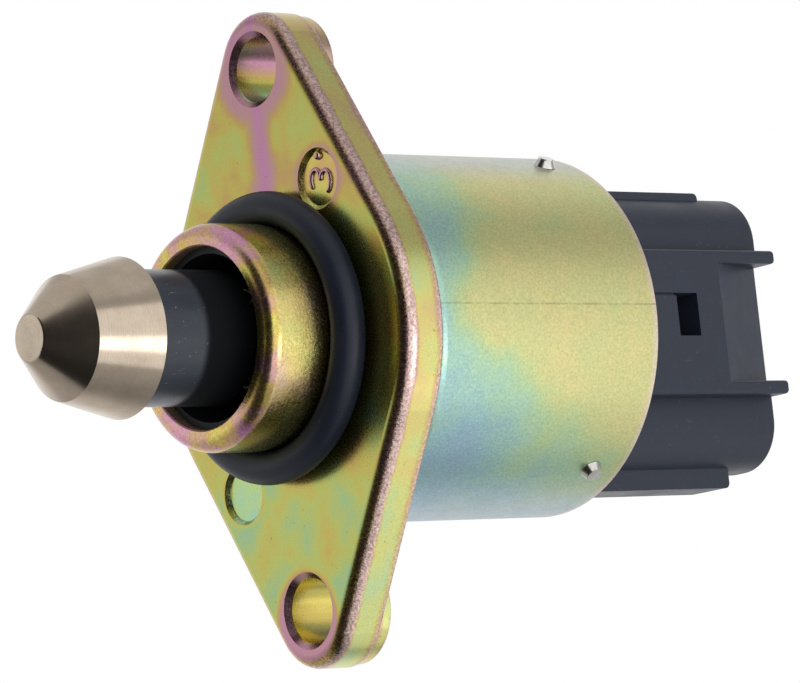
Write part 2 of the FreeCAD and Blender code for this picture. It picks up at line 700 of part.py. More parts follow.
def lead_places():
    """Each terminal's lead, from the axis: along Y and along Z."""
    for number in range(TERMINALS):
        z = f"{number - (TERMINALS - 1) / 2} * blade_pitch"
        yield f"-sqrt(lead_ring ^ 2 - ({z}) ^ 2)", z


def add_claws(body, root, tip, turn):
    """Six tapered claws, bent along the axis from the plate's bore."""
    sketch = new_sketch(body, "XZ_Plane", "-claw_outer")
    add_polygon(sketch, ((root, "-claw_root / 2"), (tip, "-claw_tip / 2"),
                         (tip, "claw_tip / 2"), (root, "claw_root / 2")))
    repeat(body, pad(body, sketch, "claw_thickness"), CLAWS)
    body.Placement.Rotation = FreeCAD.Rotation(FreeCAD.Vector(1, 0, 0), turn)


def plate_with_leads(label, front):
    """The lead holes of a stator plate, cut through it as rods."""
    rods = []
    for number, (y, z) in enumerate(lead_places(), 1):
        rods.append(rod(f"{label}_hole_{number}", f"{front} - plate_thickness",
                        f"{front} + 2 * plate_thickness", "lead_hole", y, z))
    return group("Part::Compound", label + "_holes", rods)


def make_stator_half(side, outer_face, sign, drilled_yoke):
    """One half: the outer face is where its yoke starts, and the sign points to the middle."""
    plate = f"{outer_face} {sign} plate_thickness"
    inner_plate = f"stack_middle {'-' if sign == '+' else '+'} plate_thickness"
    yoke = turned(f"{side}_yoke_form", (
        (outer_face, "claw_inner"), (outer_face, "stator_radius"),
        (inner_plate, "stator_radius"), (inner_plate, "stator_radius - yoke_wall"),
        (plate, "stator_radius - yoke_wall"), (plate, "claw_inner")))
    add_claws(yoke, f"{outer_face} {sign} plate_thickness / 2",
              f"{plate} {sign} claw_length", 0)
    poles = ring(f"{side}_plate_form", min(inner_plate, "stack_middle", key=measure),
                 max(inner_plate, "stack_middle", key=measure), "claw_inner", "stator_radius")
    back = "-" if sign == "+" else "+"
    add_claws(poles, f"stack_middle {back} plate_thickness / 2",
              f"{inner_plate} {back} claw_length", 180 / CLAWS)
    yoke_front = min(outer_face, plate, key=measure)
    poles_front = min(inner_plate, "stack_middle", key=measure)
    pole_plate = group("Part::Cut", f"{side}_pole_plate",
                       (poles, plate_with_leads(f"{side}_pole_plate", poles_front)))
    if drilled_yoke:
        holes = plate_with_leads(f"{side}_yoke", yoke_front)
        yoke = group("Part::Cut", f"{side}_yoke", (yoke, holes))
    else:
        yoke.Label = f"{side}_yoke"
    first, last = sorted((plate, inner_plate), key=measure)
    gap = "fit_clearance"
    cheek_front = f"{first} + {gap} + bobbin_wall"
    cheek_rear = f"{last} - {gap} - bobbin_wall"
    bobbin = turned(f"{side}_bobbin", (
        (f"{first} + {gap}", "bobbin_inner"), (f"{first} + {gap}", "coil_radius"),
        (cheek_front, "coil_radius"), (cheek_front, "bobbin_outer"),
        (cheek_rear, "bobbin_outer"), (cheek_rear, "coil_radius"),
        (f"{last} - {gap}", "coil_radius"), (f"{last} - {gap}", "bobbin_inner")))
    coil = ring(f"{side}_coil", cheek_front, cheek_rear, "bobbin_outer", "coil_radius")
    return yoke, pole_plate, bobbin, coil


# Can, retaining pins, terminals and the connector's housing


def stand_round_can(bar, number, inner):
    """Stand a round bar along the radius, from a distance off the axis, at its step round the can."""
    turn = f"(pin_turn + {number} * pin_step) * 1deg"
    bind(bar, Placement__Base__x="pin_place",
         Placement__Base__y=f"({inner}) * cos({turn})",
         Placement__Base__z=f"({inner}) * sin({turn})")
    bind(bar, Placement__Rotation__Angle=f"{turn} - 90deg")
    bar.Placement.Rotation.Axis = FreeCAD.Vector(1, 0, 0)
    return bar


def radial_rods(label, radius, inner, outer):
    """Round bars along the radius, a step apart round the can."""
    rods = []
    for number in range(PINS):
        bar = doc.addObject("Part::Cylinder", f"{label}_{number + 1}")
        bind(bar, Radius=radius, Height=f"{outer} - ({inner})")
        rods.append(stand_round_can(bar, number, inner))
    return rods


def make_pins():
    """Each pin is a bar through the can with a tapered head that sits on it."""
    pins = []
    for number, bar in enumerate(radial_rods("pin_bar", "pin_radius", "pin_inner", "pin_outer")):
        head = doc.addObject("Part::Cone", f"pin_head_{number + 1}")
        bind(head, Radius1="pin_head_radius", Radius2="pin_top_radius", Height="pin_proud")
        stand_round_can(head, number, "can_radius")
        pins.append(group("Part::MultiFuse", f"pin_{number + 1}", (bar, head)))
    return group("Part::Compound", "can_pins", pins)


def make_can():
    """A drawn cup: its floor lies on the flange, round the pilot."""
    form = turned("can_form", (
        ("flange_thickness", "pilot_radius + fit_clearance"), ("flange_thickness", "can_radius"),
        ("can_rear - can_lip", "can_radius"), ("can_rear", "can_radius - can_lip"),
        ("can_rear", "can_radius - can_wall"),
        ("flange_thickness + can_wall", "can_radius - can_wall"),
        ("flange_thickness + can_wall", "pilot_radius + fit_clearance")))
    front, outside = measure("flange_thickness"), measure("can_radius")
    dress(form, "Fillet",
          lambda edge: ends_at(edge, front) and abs(edge.Curve.Radius - outside) < 1e-4,
          "can_corner")
    holes = radial_rods("pin_hole", "pin_hole", "can_radius - 2 * can_wall", "can_radius + can_wall")
    return group("Part::Cut", "motor_can", (form, group("Part::Compound", "pin_holes", holes)))


def make_terminals():
    """Stamped terminals: a blade in the socket and a foot out to the coil's lead."""
    terminals, leads = [], []
    for number, (y, z) in enumerate(lead_places(), 1):
        blade = block(f"blade_{number}",
                      ("foot_front", "-blade_thickness / 2", f"{z} - blade_width / 2"),
                      ("blade_tip", "blade_thickness / 2", f"{z} + blade_width / 2"))
        foot = block(f"foot_{number}",
                     ("foot_front", f"{y} - lead_radius", f"{z} - blade_width / 2"),
                     ("foot_rear", "blade_thickness / 2", f"{z} + blade_width / 2"))
        terminals.append(group("Part::MultiFuse", f"terminal_{number}", (blade, foot)))
        start = "stack_middle" if number % 2 else "pilot_rear"
        leads.append(rod(f"lead_{number}", f"{start} + stack_length / 4", "foot_front",
                         "lead_radius", y, z))
    return (group("Part::Compound", "terminal_pins", terminals),
            group("Part::Compound", "coil_leads", leads))


def make_housing(inserts):
    """Plug, shroud, ribs and latch block are one moulding round the terminals."""
    body = turned("housing_form", (
        ("plug_front", "bush_radius"), ("plug_front", "stator_radius"),
        ("seal_middle - seal_groove / 2", "stator_radius"),
        ("seal_middle - seal_groove / 2", "seal_seat"),
        ("seal_middle + seal_groove / 2", "seal_seat"),
        ("seal_middle + seal_groove / 2", "stator_radius"),
        ("plug_rear", "stator_radius"), ("plug_rear", "0"),
        ("bush_rear", "0"), ("bush_rear", "bush_radius")))
    inside = "plug_rear - plug_recess"
    shroud = new_sketch(body, "YZ_Plane", inside)
    add_rounded(shroud, "shroud_height", "shroud_thickness", "shroud_corner")
    pad(body, shroud, f"mouth - ({inside})")
    end = measure("mouth")
    dress(body, "Fillet", lambda edge: ends_at(edge, end), "shroud_edge")
    ribs = new_sketch(body, "YZ_Plane", inside)
    add_rectangle(ribs, "-rib_thickness / 2", "-rib_bottom", "rib_thickness / 2", "rib_top")
    pad(body, ribs, f"rib_end - ({inside})")
    rib_end = measure("rib_end")
    rib_tops = (measure("rib_top"), measure("-rib_bottom"))
    dress(body, "Fillet",
          lambda edge: ends_at(edge, rib_end) and
          any(abs(edge.BoundBox.ZMin - top) + abs(edge.BoundBox.ZMax - top) < 1e-4
              for top in rib_tops), "rib_round")
    latch = new_sketch(body, "YZ_Plane", inside)
    add_rectangle(latch, "-latch_face", "-latch_bottom", "0", "latch_top")
    pad(body, latch, f"mouth - ({inside})")
    face, top, bottom = measure("latch_face"), measure("latch_top"), measure("-latch_bottom")
    dress(body, "Fillet",
          lambda edge: abs(edge.BoundBox.YMax + face) < 1e-4 and
          (ends_at(edge, end) or edge.BoundBox.ZLength < 1e-4), "latch_edge")
    ramp = new_sketch(body, "XY_Plane", "fin_thickness - latch_bottom")
    add_polygon(ramp, (("ramp_start", "-latch_face"), ("mouth", "ramp_foot"),
                       ("mouth + latch_edge", "ramp_foot"),
                       ("mouth + latch_edge", "-2 * latch_face"),
                       ("ramp_start", "-2 * latch_face")))
    pocket(body, ramp, "latch_top + latch_bottom - 2 * fin_thickness", True)
    foot = measure("ramp_foot")
    dress(body, "Fillet",
          lambda edge: ends_at(edge, end) and edge.BoundBox.ZLength < 1e-4
          and edge.BoundBox.YMin < foot - 1e-4, "fin_round")
    window = new_sketch(body, "XZ_Plane", "latch_face - window_depth")
    add_rectangle(window, "window_front", "window_bottom",
                  "window_front + window_length", "window_top")
    pocket(body, window, "2 * window_depth", True)
    slit = new_sketch(body, "XZ_Plane", "latch_face - slit_depth")
    add_rectangle(slit, "window_front - slit_length", "window_top - slit_width",
                  "window_front + slit_width", "window_top")
    pocket(body, slit, "2 * slit_depth", True)
    socket = new_sketch(body, "YZ_Plane", "socket_floor")
    add_rounded(socket, "shroud_height - 2 * shroud_wall",
                "shroud_thickness - 2 * shroud_wall", "shroud_corner - shroud_wall")
    pocket(body, socket, "2 * socket_depth", True)
    return group("Part::Cut", "connector_housing",
                 (body, group("Part::Compound", "housing_inserts", inserts)))


pins = make_pins()
terminal_pins, coil_leads = make_terminals()
NODES = [
    make_flange(),
    make_rubber_ring("flange_o_ring", "ring_place", "ring_radius", "ring_section"),
    make_liner(),
    make_pintle_head(),
    make_sleeve(),
    make_screw(),
    make_spring(),
    *make_bearing(),
    *make_rotor(),
    make_wave_washer(),
    *make_stator_half("front", "pilot_rear", "+", False),
    *make_stator_half("rear", "stack_rear", "-", True),
    make_can(),
    pins,
    terminal_pins,
    coil_leads,
    make_housing((terminal_pins, coil_leads, pins)),
    make_rubber_ring("plug_seal", "seal_middle", "seal_ring", "seal_section"),
]
doc.recompute()

failed = [item.Label for item in doc.Objects if {"Invalid", "Error"} & set(item.State)]
if failed:
    raise RuntimeError("features that failed: " + ", ".join(failed))
for node in NODES:
    if node.Shape.isNull() or not node.Shape.isValid():
        raise RuntimeError("a shape that isn't valid: " + node.Label)

os.makedirs("parts", exist_ok=True)
for node in NODES:
    node.Shape.exportStep(f"parts/{node.Label}.step")
    print(node.Label, round(node.Shape.Volume, 2), len(node.Shape.Solids))
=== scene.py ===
# %% [markdown]
# # Looks for an idle air control valve
# The solids of this valve come from its construction model and stay where they are. This lesson gives each
# of them a finish worked out from the real one, adds the few pieces that are only form, and lights the
# valve as on a photographer's table. Everything is in metres. The valve's axis is X: the pintle points
# along -X, the connector along +X, and the two mounting holes lie along Z.

# %% Load the fixed frame
import json
import math
from functools import partial

import bpy
import numpy as np
from mathutils import Matrix, Vector


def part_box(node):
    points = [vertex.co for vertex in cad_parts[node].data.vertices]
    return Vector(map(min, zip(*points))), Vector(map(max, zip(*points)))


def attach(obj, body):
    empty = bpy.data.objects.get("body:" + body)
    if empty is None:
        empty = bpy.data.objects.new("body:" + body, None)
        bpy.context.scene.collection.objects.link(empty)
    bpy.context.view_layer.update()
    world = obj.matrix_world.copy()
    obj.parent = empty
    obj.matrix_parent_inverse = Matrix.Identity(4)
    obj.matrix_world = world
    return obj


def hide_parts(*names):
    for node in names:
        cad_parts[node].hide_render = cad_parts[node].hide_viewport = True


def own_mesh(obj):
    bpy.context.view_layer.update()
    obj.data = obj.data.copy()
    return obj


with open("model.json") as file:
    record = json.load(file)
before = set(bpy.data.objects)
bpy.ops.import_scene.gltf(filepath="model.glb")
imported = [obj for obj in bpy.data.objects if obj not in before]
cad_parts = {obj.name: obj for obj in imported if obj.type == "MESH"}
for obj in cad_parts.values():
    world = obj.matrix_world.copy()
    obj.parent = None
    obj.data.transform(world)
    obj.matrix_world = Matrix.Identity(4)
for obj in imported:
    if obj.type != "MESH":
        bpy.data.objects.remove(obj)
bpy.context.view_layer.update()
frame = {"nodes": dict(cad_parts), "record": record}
nodes = frame["nodes"]

# %% [markdown]
# ## Camera
# A long lens from a little below the valve: the flange's outline and the can's rim are nearly true ellipses
# in such a picture, so the lens is 214 mm on a sensor 36 mm wide. The camera stands 0.4 m away, looks 40
# degrees to the right of +Y and 7 degrees up, and leans by 6 degrees.

# %% Place the camera
EYE = Vector((-0.24805, -0.30914, -0.05137))
LOOK = Vector((0.640246, 0.757893, 0.125233))
LEAN = math.radians(-6.075)
LENS_MM, SENSOR_MM = 213.92, 36.0

lens = bpy.data.cameras.new("studio_camera")
lens.lens = LENS_MM
lens.sensor_width = SENSOR_MM
lens.clip_start = 0.01
camera = bpy.data.objects.new("studio_camera", lens)
bpy.context.collection.objects.link(camera)
aim = LOOK.to_track_quat("-Z", "Y").to_matrix().to_4x4()
camera.matrix_world = Matrix.Translation(EYE) @ aim @ Matrix.Rotation(LEAN, 4, "Z")
bpy.context.scene.camera = camera
print("camera", round(EYE.length, 3), "m away")

# %% [markdown]
# ## One way to add a node
# Every finish below is a small tree of shader nodes. One helper adds a node, sets its properties and fills
# its inputs: a plain value is stored in the socket, and another node's output is linked to it. Colours are
# written as the sRGB hex values that a paint program shows, and one function turns them to the linear
# values that the renderer works in. Patterns are sized in millimetres.

# %% Helpers for finishes
def linear(text):
    """sRGB hex to linear: c / 12.92 below 0.04045, otherwise ((c + 0.055) / 1.055) to the power 2.4."""
    channels = [int(text[place:place + 2], 16) / 255 for place in (0, 2, 4)]
    return [c / 12.92 if c < 0.04045 else ((c + 0.055) / 1.055) ** 2.4 for c in channels] + [1.0]


def fill(tree, made, inputs):
    """Store each value in its socket, or link it when it is another node's output."""
    for name, value in (inputs.items() if isinstance(inputs, dict) else enumerate(inputs)):
        if isinstance(value, bpy.types.NodeSocket):
            tree.links.new(value, made.inputs[name])
        else:
            made.inputs[name].default_value = value


def add(tree, kind, inputs=(), out=0, **settings):
    """Add one shader node with its settings and inputs, and give back one of its outputs."""
    made = tree.nodes.new("ShaderNode" + kind)
    stops = settings.pop("stops", None)
    for name, value in settings.items():
        setattr(made, name, value)
    fill(tree, made, inputs)
    if stops:
        band = made.color_ramp.elements
        while len(band) < len(stops):
            band.new(0.5)
        for mark, (place, text) in zip(band, stops):
            mark.position, mark.color = place, linear(text)
    return made.outputs[out]


def new_finish(name, **sockets):
    """A material, with its own node adder, a way to feed its shader, and the piece's own coordinates."""
    finish = bpy.data.materials.new(name)
    finish.use_nodes = True
    tree = finish.node_tree
    shader = tree.nodes["Principled BSDF"]
    fill(tree, shader, {socket.replace("_", " "): value for socket, value in sockets.items()})
    return finish, partial(add, tree), partial(fill, tree, shader), add(tree, "TexCoord", out="Object")


def per_mm(size):
    """A noise scale whose features are about this many millimetres across."""
    return 1000.0 / size


SOFT = {"interpolation_type": "SMOOTHSTEP"}
COLOURS = {"data_type": "RGBA", "out": 2}
print("mid grey", [round(value, 3) for value in linear("808080")[:3]])

# %% [markdown]
# ## Yellow chromate on the forged flange
# The flange is steel with a few micrometres of zinc, dipped in a yellow chromate bath. The film on the zinc
# is thin enough to show interference colours: purple and pink where it is thinnest, then gold, olive, green
# and teal. Two ways would give them: the shader's own thin film, which can't be told where the liquid ran,
# or a film thickness drawn as a pattern and coloured by a ramp. The second can be aimed, so it serves here
# and on the can. The places come first: two mounting holes, which the record gives, and two sunk discs.

# %% Places and colours on the flange
holes = next(mount["dims"] for mount in frame["record"]["mounts"] if mount["kind"] == "bolt_pattern")
HOLE_HEIGHT = holes["spacing_y_mm"] / 2000
HOLE_RADIUS = holes["hole_r_mm"] / 1000
# Y and Z of each disc's centre, and the factors that leave only Y and Z of a place.
DISCS = ((-0.0071, 0.012298), (0.0071, -0.012298))
FLAT = (0, 1, 1)
CHROMATE = ((0.0, "c283b2"), (0.13, "c0909b"), (0.26, "bf9986"), (0.38, "c3a565"), (0.50, "c6b560"),
            (0.66, "bac06a"), (0.83, "a6c084"), (1.0, "97bc9e"))
PALE_SIDE, WORN_RIM, PIT_BROWN = "f2ecb4", "c9b1a8", "6b5a3c"


def ring_round(node, flat, y, z, *band):
    """The distance from a point in the YZ plane, turned by a soft step to values at two distances."""
    away = node("VectorMath", (flat, (0, y, z)), "Value", operation="DISTANCE")
    return node("MapRange", (away, *band), **SOFT)


print("holes", round(2000 * HOLE_HEIGHT, 2), "mm apart,", len(CHROMATE), "film colours")

# %% [markdown]
# ### Where the film is thin
# Liquid ran from the upper hole down to the ring and left a purple streak, and the film is thin round each
# hole and each disc. The streak is a band in Y whose middle wanders with slow noise. A ring is the distance
# from a centre, turned by a soft step. At each point the strongest of them counts.

# %% Streak and rings
STREAK_Y, STREAK_HALF = 0.0006, 0.0027
# For each ring: Y and Z of its centre, two distances from it, and how thin the film is at each.
THIN_RINGS = ((0, HOLE_HEIGHT, 0.0038, 0.0060, 0.8, 0),
              (0.0002, -HOLE_HEIGHT - 0.0006, 0.0033, 0.0047, 0.95, 0),
              (*DISCS[0], 0.0025, 0.0035, 0.6, 0),
              (*DISCS[1], 0.0025, 0.0032, 0.45, 0))


def streak_and_rings(node, flat, parts, wander):
    """Thin = the most of the rings and of the streak. The streak is 1 along its middle and 0 past its sides
    and inside the rubber ring."""
    side = node("Math", (wander, 0.0014, parts["Y"]), operation="MULTIPLY_ADD")
    side = node("Math", (side, STREAK_Y), operation="SUBTRACT")
    aside = node("Math", (side,), operation="ABSOLUTE")
    across = node("MapRange", (aside, 0.0001, STREAK_HALF, 1, 0), **SOFT)
    above = node("MapRange", (parts["Z"], 0.009, 0.012, 0, 1), **SOFT)
    thin = node("Math", (across, above), operation="MULTIPLY")
    for ring in THIN_RINGS:
        thin = node("Math", (thin, ring_round(node, flat, *ring)), operation="MAXIMUM")
    return thin


print("streak", 2000 * STREAK_HALF, "mm wide,", len(THIN_RINGS), "rings")

# %% [markdown]
# ### Edges, rims and hole walls
# Every rounded edge shows a thin film. On the plate's sides it is worn to pink along the front edge, along
# the rear edge and round the rear of each boss. These rims are bands along X with ragged ends, drawn by
# fine noise. They leave out the front face and the walls of the holes, which have a film of their own: the
# last drops ran down inside them.

# %% Edges and rims
# The plate's back lies 4 mm along, and the noise adds about 0.4 mm to every place.
RIM_END = 0.0045


def edge_tilt(node):
    """How far the surface faces along the axis, 1 on faces and 0 on sides, and a share that is 1 on the
    rounds between them."""
    along = node("SeparateXYZ", (node("NewGeometry", out="Normal"),))
    facing = node("Math", (along,), operation="ABSOLUTE")
    rise = node("MapRange", (facing, 0.06, 0.3, 0, 1), **SOFT)
    fall = node("MapRange", (facing, 0.88, 0.998, 1, 0), **SOFT)
    return facing, node("Math", (rise, fall), operation="MULTIPLY")


def hole_walls(node, flat):
    """1 up to the wall of each mounting hole, 0 outside."""
    upper = ring_round(node, flat, 0, HOLE_HEIGHT, 0.00278, 0.0029, 1, 0)
    lower = ring_round(node, flat, 0, -HOLE_HEIGHT, 0.00278, 0.0029, 1, 0)
    return node("Math", (upper, lower), operation="MAXIMUM")


def plate_rims(node, place, parts, facing, wander, walls):
    """Rims = 0.85 at the front edge, 0.6 at the plate's rear edge and 0.6 at the boss's, as bands along X
    moved by noise, and 0 on faces, ahead of the front face and in the holes."""
    ragged = node("TexNoise", {"Vector": place, "Scale": per_mm(0.8), "Detail": 3.0})
    ragged = node("Math", (wander, ragged), operation="ADD")
    along = node("Math", (ragged, 0.0004, parts["X"]), operation="MULTIPLY_ADD")
    front = node("MapRange", (along, 0.0013, 0.0018, 0.85, 0), **SOFT)
    rear = node("MapRange", (along, 0.0034, 0.0043, 0, 0.6), **SOFT)
    ended = node("MapRange", (along, RIM_END, RIM_END + 0.0003, 1, 0), **SOFT)
    boss = node("MapRange", (along, 0.0052, 0.0056, 0, 0.6), **SOFT)
    rims = node("Math", (front, rear), operation="MAXIMUM")
    rims = node("Math", (rims, ended), operation="MULTIPLY")
    rims = node("Math", (rims, boss), operation="MAXIMUM")
    on_side = node("MapRange", (facing, 0.75, 0.55, 0, 1), **SOFT)
    behind_face = node("MapRange", (parts["X"], -0.0003, 0.0003, 0, 1))
    outside = node("Math", (1.0, walls), operation="SUBTRACT")
    for share in (on_side, behind_face, outside):
        rims = node("Math", (rims, share), operation="MULTIPLY")
    return rims


def film_in_holes(node, parts, wander):
    """Upper hole: the most of 290 times the depth below and 100 times the height above a line 1.1 mm over
    its centre. Lower hole: 0.3 at its bottom to 0.5 at its top. Both plus 0.16 of slow noise."""
    upright = node("Math", (parts["Z"], HOLE_HEIGHT + 0.0011), operation="SUBTRACT")
    below = node("Math", (upright, -290.0), operation="MULTIPLY")
    above = node("Math", (upright, 100.0), operation="MULTIPLY")
    upper = node("Math", (below, above), operation="MAXIMUM")
    lower = node("MapRange", (parts["Z"], -HOLE_HEIGHT - HOLE_RADIUS, -HOLE_HEIGHT + HOLE_RADIUS, 0.3, 0.5))
    which = node("MapRange", (parts["Z"], -0.01, 0.01, 0, 1))
    film = node("Mix", {0: which, 2: lower, 3: upper})
    return node("Math", (wander, 0.16, film), operation="MULTIPLY_ADD")


print("plate's rims end", 1000 * RIM_END, "mm along, hole walls at", 1000 * HOLE_RADIUS, "mm")

# %% [markdown]
# ### The whole film
# The film is slow noise, thicker on the lower plate, where the last drops hung, and thinned by the shares
# above. The floors of the discs were struck flat and are left out of the rings, but the raised number
# stands in a thin film of its own. The nose's end was turned before the bath and has bands of its own.

# %% The film's thickness on the flange
BANDS_START, BANDS_WHOLE = -0.0071, -0.0078
NUMBER_TOP, NUMBER_FOOT = 0.00030, 0.00038


def film_on_flange(node, place, parts, flat, facing, tilt):
    """Film = slow noise plus a share low on the plate, times 1 - 0.9 thin; thin is the most of the streak,
    the rings, the rounded edges, the nose's side and the rims. Gives the film, the sides and the rims."""
    wander = node("TexNoise", {"Vector": place, "Scale": per_mm(4)})
    walls = hole_walls(node, flat)
    rims = plate_rims(node, place, parts, facing, wander, walls)
    nose = node("MapRange", (parts["X"], -0.0025, BANDS_WHOLE, 0, 0.25))
    edges = node("Math", (node("Math", (tilt, 0.62), operation="MULTIPLY"), nose), operation="MAXIMUM")
    thin = streak_and_rings(node, flat, parts, wander)
    for share in (edges, rims):
        thin = node("Math", (thin, share), operation="MAXIMUM")
    raised = node("MapRange", (parts["X"], NUMBER_FOOT, NUMBER_TOP, 0, 0.7), **SOFT)
    for y, z in DISCS:
        thin = node("Math", (thin, ring_round(node, flat, y, z, 0.0025, 0.0027, 0, 1)), operation="MULTIPLY")
        inside = ring_round(node, flat, y, z, 0.0020, 0.0021, 1, 0)
        thin = node("Math", (inside, raised, thin), operation="MULTIPLY_ADD")
    slow = node("TexNoise", {"Vector": place, "Scale": per_mm(5), "Detail": 3.0})
    slow = node("Math", (slow, 1.25, -0.09), operation="MULTIPLY_ADD")
    low = node("MapRange", (parts["Z"], -0.007, -0.015, 0, 0.2), **SOFT)
    film = node("Math", (slow, low), operation="ADD")
    left = node("Math", (thin, -0.9, 1.0), operation="MULTIPLY_ADD")
    film = node("Math", (film, left), operation="MULTIPLY")
    bands = node("TexNoise", {"Vector": place, "Scale": per_mm(3), "Detail": 2.0})
    bands = node("MapRange", (bands, 0.35, 0.75, 0, 0.8))
    at_end = node("MapRange", (parts["X"], BANDS_START, BANDS_WHOLE, 0, 0.75))
    film = node("Mix", {0: at_end, 2: film, 3: bands})
    sides = node("MapRange", (facing, 0.35, 0.05, 0, 1), **SOFT)
    sides = node("Math", (sides, walls), operation="SUBTRACT", use_clamp=True)
    return node("Mix", {0: walls, 2: film, 3: film_in_holes(node, parts, wander)}), sides, rims


print("the nose's bands start", round(-1000 * BANDS_START, 1), "mm ahead of the mounting face")

# %% [markdown]
# ### Skin and gloss of the flange
# Forging leaves a fine grain that sparkles most on the rounded edges, and the zinc has small dark pits. The
# nose's end was turned and the discs were struck; both are painted 1.25 times brighter, painted light. The
# colour is also painted darker high on the plate and brighter low, painted shade. The grain is drawn at
# 0.22 mm, coarser than the real one, so that it shows.

# %% Chromated zinc on the flange
def forged_skin(node, parts, flat, tilt, rims):
    """How rough the skin is: the most of the rims, 0.35 on the nose, and the rounded edges, which count a
    third ahead of the mounting face. In the holes and their chamfers it is a quarter of that."""
    behind_face = node("MapRange", (parts["X"], -0.0004, 0.0004, 0.3, 1))
    on_nose = node("MapRange", (parts["X"], -0.001, -0.002, 0, 0.35))
    forged = node("Math", (tilt, behind_face), operation="MULTIPLY")
    for share in (rims, on_nose):
        forged = node("Math", (forged, share), operation="MAXIMUM")
    for height in (HOLE_HEIGHT, -HOLE_HEIGHT):
        outside = ring_round(node, flat, 0, height, 0.0033, 0.0035, 0.25, 1)
        forged = node("Math", (forged, outside), operation="MULTIPLY")
    return forged


def flange_grain_and_painted_light(node, parts, flat, fine, forged):
    """Brightness = a grain that is stronger where the skin is rough, times a painted shade from 0.88 high to
    1.08 low on the plate, times a painted light of 1.25 on the nose's end and in the discs."""
    low = node("MapRange", (forged, 0, 1, 0.95, 0.6))
    high = node("MapRange", (forged, 0, 1, 1.04, 1.5))
    grain = node("MapRange", (fine, 0.35, 0.65, low, high))
    # Painted shade: the colour is 0.88 as bright high up and 1.08 as bright low down.
    height = node("MapRange", (parts["Z"], 0.02, -0.012, 0.88, 1.08))
    shade = node("Math", (grain, height), operation="MULTIPLY")
    # Painted light: the nose's end and the disc floors are painted 1.25 times brighter.
    smooth = node("MapRange", (parts["X"], -0.0076, -0.0080, 0, 1))
    near_face = node("MapRange", (parts["X"], 0.001, 0.002, 1, 0))
    for y, z in DISCS:
        painted_disc_light = ring_round(node, flat, y, z, 0.0021, 0.0025, 1, 0)
        painted_disc_light = node("Math", (painted_disc_light, near_face), operation="MULTIPLY")
        smooth = node("Math", (smooth, painted_disc_light), operation="MAXIMUM")
    return node("Math", (shade, node("MapRange", (smooth, 0, 1, 1, 1.25))), operation="MULTIPLY")


def chromated_flange():
    """The film's colour, paler on the sides and pink on the rims, then pits, brightness with painted shade
    and painted light, gloss and grain.
    The nose's bore is duller."""
    finish, node, feed, place = new_finish("yellow_chromated_zinc", Metallic=1.0)
    parts = node("SeparateXYZ", (place,)).node.outputs
    flat = node("VectorMath", (place, FLAT), operation="MULTIPLY")
    facing, tilt = edge_tilt(node)
    film, sides, rims = film_on_flange(node, place, parts, flat, facing, tilt)
    unworn = node("Math", (0.24, rims), operation="SUBTRACT", use_clamp=True)
    pale = node("Math", (sides, unworn), operation="MULTIPLY")
    pits = node("TexNoise", {"Vector": place, "Scale": per_mm(0.45), "Detail": 2.0})
    pits = node("MapRange", (pits, 0.30, 0.24, 0, 0.45), **SOFT)
    colour = node("ValToRGB", (film,), stops=CHROMATE)
    for share, tint in ((pale, PALE_SIDE), (rims, WORN_RIM), (pits, PIT_BROWN)):
        colour = node("Mix", {0: share, 6: colour, 7: linear(tint)}, **COLOURS)
    fine = node("TexNoise", {"Vector": place, "Scale": per_mm(0.22), "Detail": 3.0, "Roughness": 0.6})
    forged = forged_skin(node, parts, flat, tilt, rims)
    # Grain, painted shade and painted light, multiplied into the colour.
    shade = flange_grain_and_painted_light(node, parts, flat, fine, forged)
    colour = node("VectorMath", (colour, node("CombineXYZ", (shade, shade, shade))), operation="MULTIPLY")
    reach = node("VectorMath", (flat,), "Value", operation="LENGTH")
    bore = node("MapRange", (reach, 0.0078, 0.0077, 0, 0.35))
    rough = node("Math", (bore, node("MapRange", (fine, 0.3, 0.7, 0.2, 0.3))), operation="ADD")
    strength = node("Math", (forged, 0.6, 0.12), operation="MULTIPLY_ADD")
    feed({"Base Color": colour, "Roughness": rough,
          "Normal": node("Bump", {"Height": fine, "Strength": strength, "Distance": 0.00003})})
    return finish


finishes = {"zinc_chromate": chromated_flange()}
print("flange:", len(finishes["zinc_chromate"].node_tree.nodes), "shader nodes")

# %% [markdown]
# ## Pale chromate on the drawn can
# The can had the same bath for a shorter time, so its colours are paler: blue next to the flange, green,
# then straw yellow towards the rim. The bath drained downwards, so low on the can the yellow starts further
# from the flange. The film's thickness is a soft step along the axis whose place depends on the height,
# plus noise. A fine line along the can is left by the tool that drew it.

# %% Film on the can
PALE_FILM = ((0.0, "9ab6c8"), (0.14, "9cc0c4"), (0.28, "a8cbb6"), (0.44, "b6cfa0"), (0.6, "cbcf93"),
             (0.8, "d8ce92"), (1.0, "dccba8"))
PATCH = (0.008, 0, -0.0118)


def can_film(node, place, parts):
    """Film = a soft step along the axis, later and wider low on the can and a little so at the top, minus
    one thin patch, plus noise."""
    lag = node("Math", (parts["Z"], -1.75, -0.0026), operation="MULTIPLY_ADD")
    lag = node("Math", (lag, node("MapRange", (parts["Z"], 0.001, 0.008, 0, 0.0044))), operation="MAXIMUM")
    start = node("Math", (lag, 0.2, 0.0042), operation="MULTIPLY_ADD")
    end = node("Math", (lag, 1.6, 0.0092), operation="MULTIPLY_ADD")
    step = node("MapRange", (parts["X"], start, end, -0.04, 0.43), **SOFT)
    side = node("VectorMath", (place, (1, 0, 1)), operation="MULTIPLY")
    patch = node("VectorMath", (side, PATCH), "Value", operation="DISTANCE")
    patch = node("MapRange", (patch, 0.001, 0.0055, -0.16, 0), **SOFT)
    slow = node("TexNoise", {"Vector": place, "Scale": per_mm(5), "Detail": 4.0})
    slow = node("Math", (slow, 0.55, patch), operation="MULTIPLY_ADD")
    return node("Math", (step, slow), operation="ADD")


print(len(PALE_FILM), "film colours, a thin patch at", [round(1000 * value, 1) for value in PATCH], "mm")
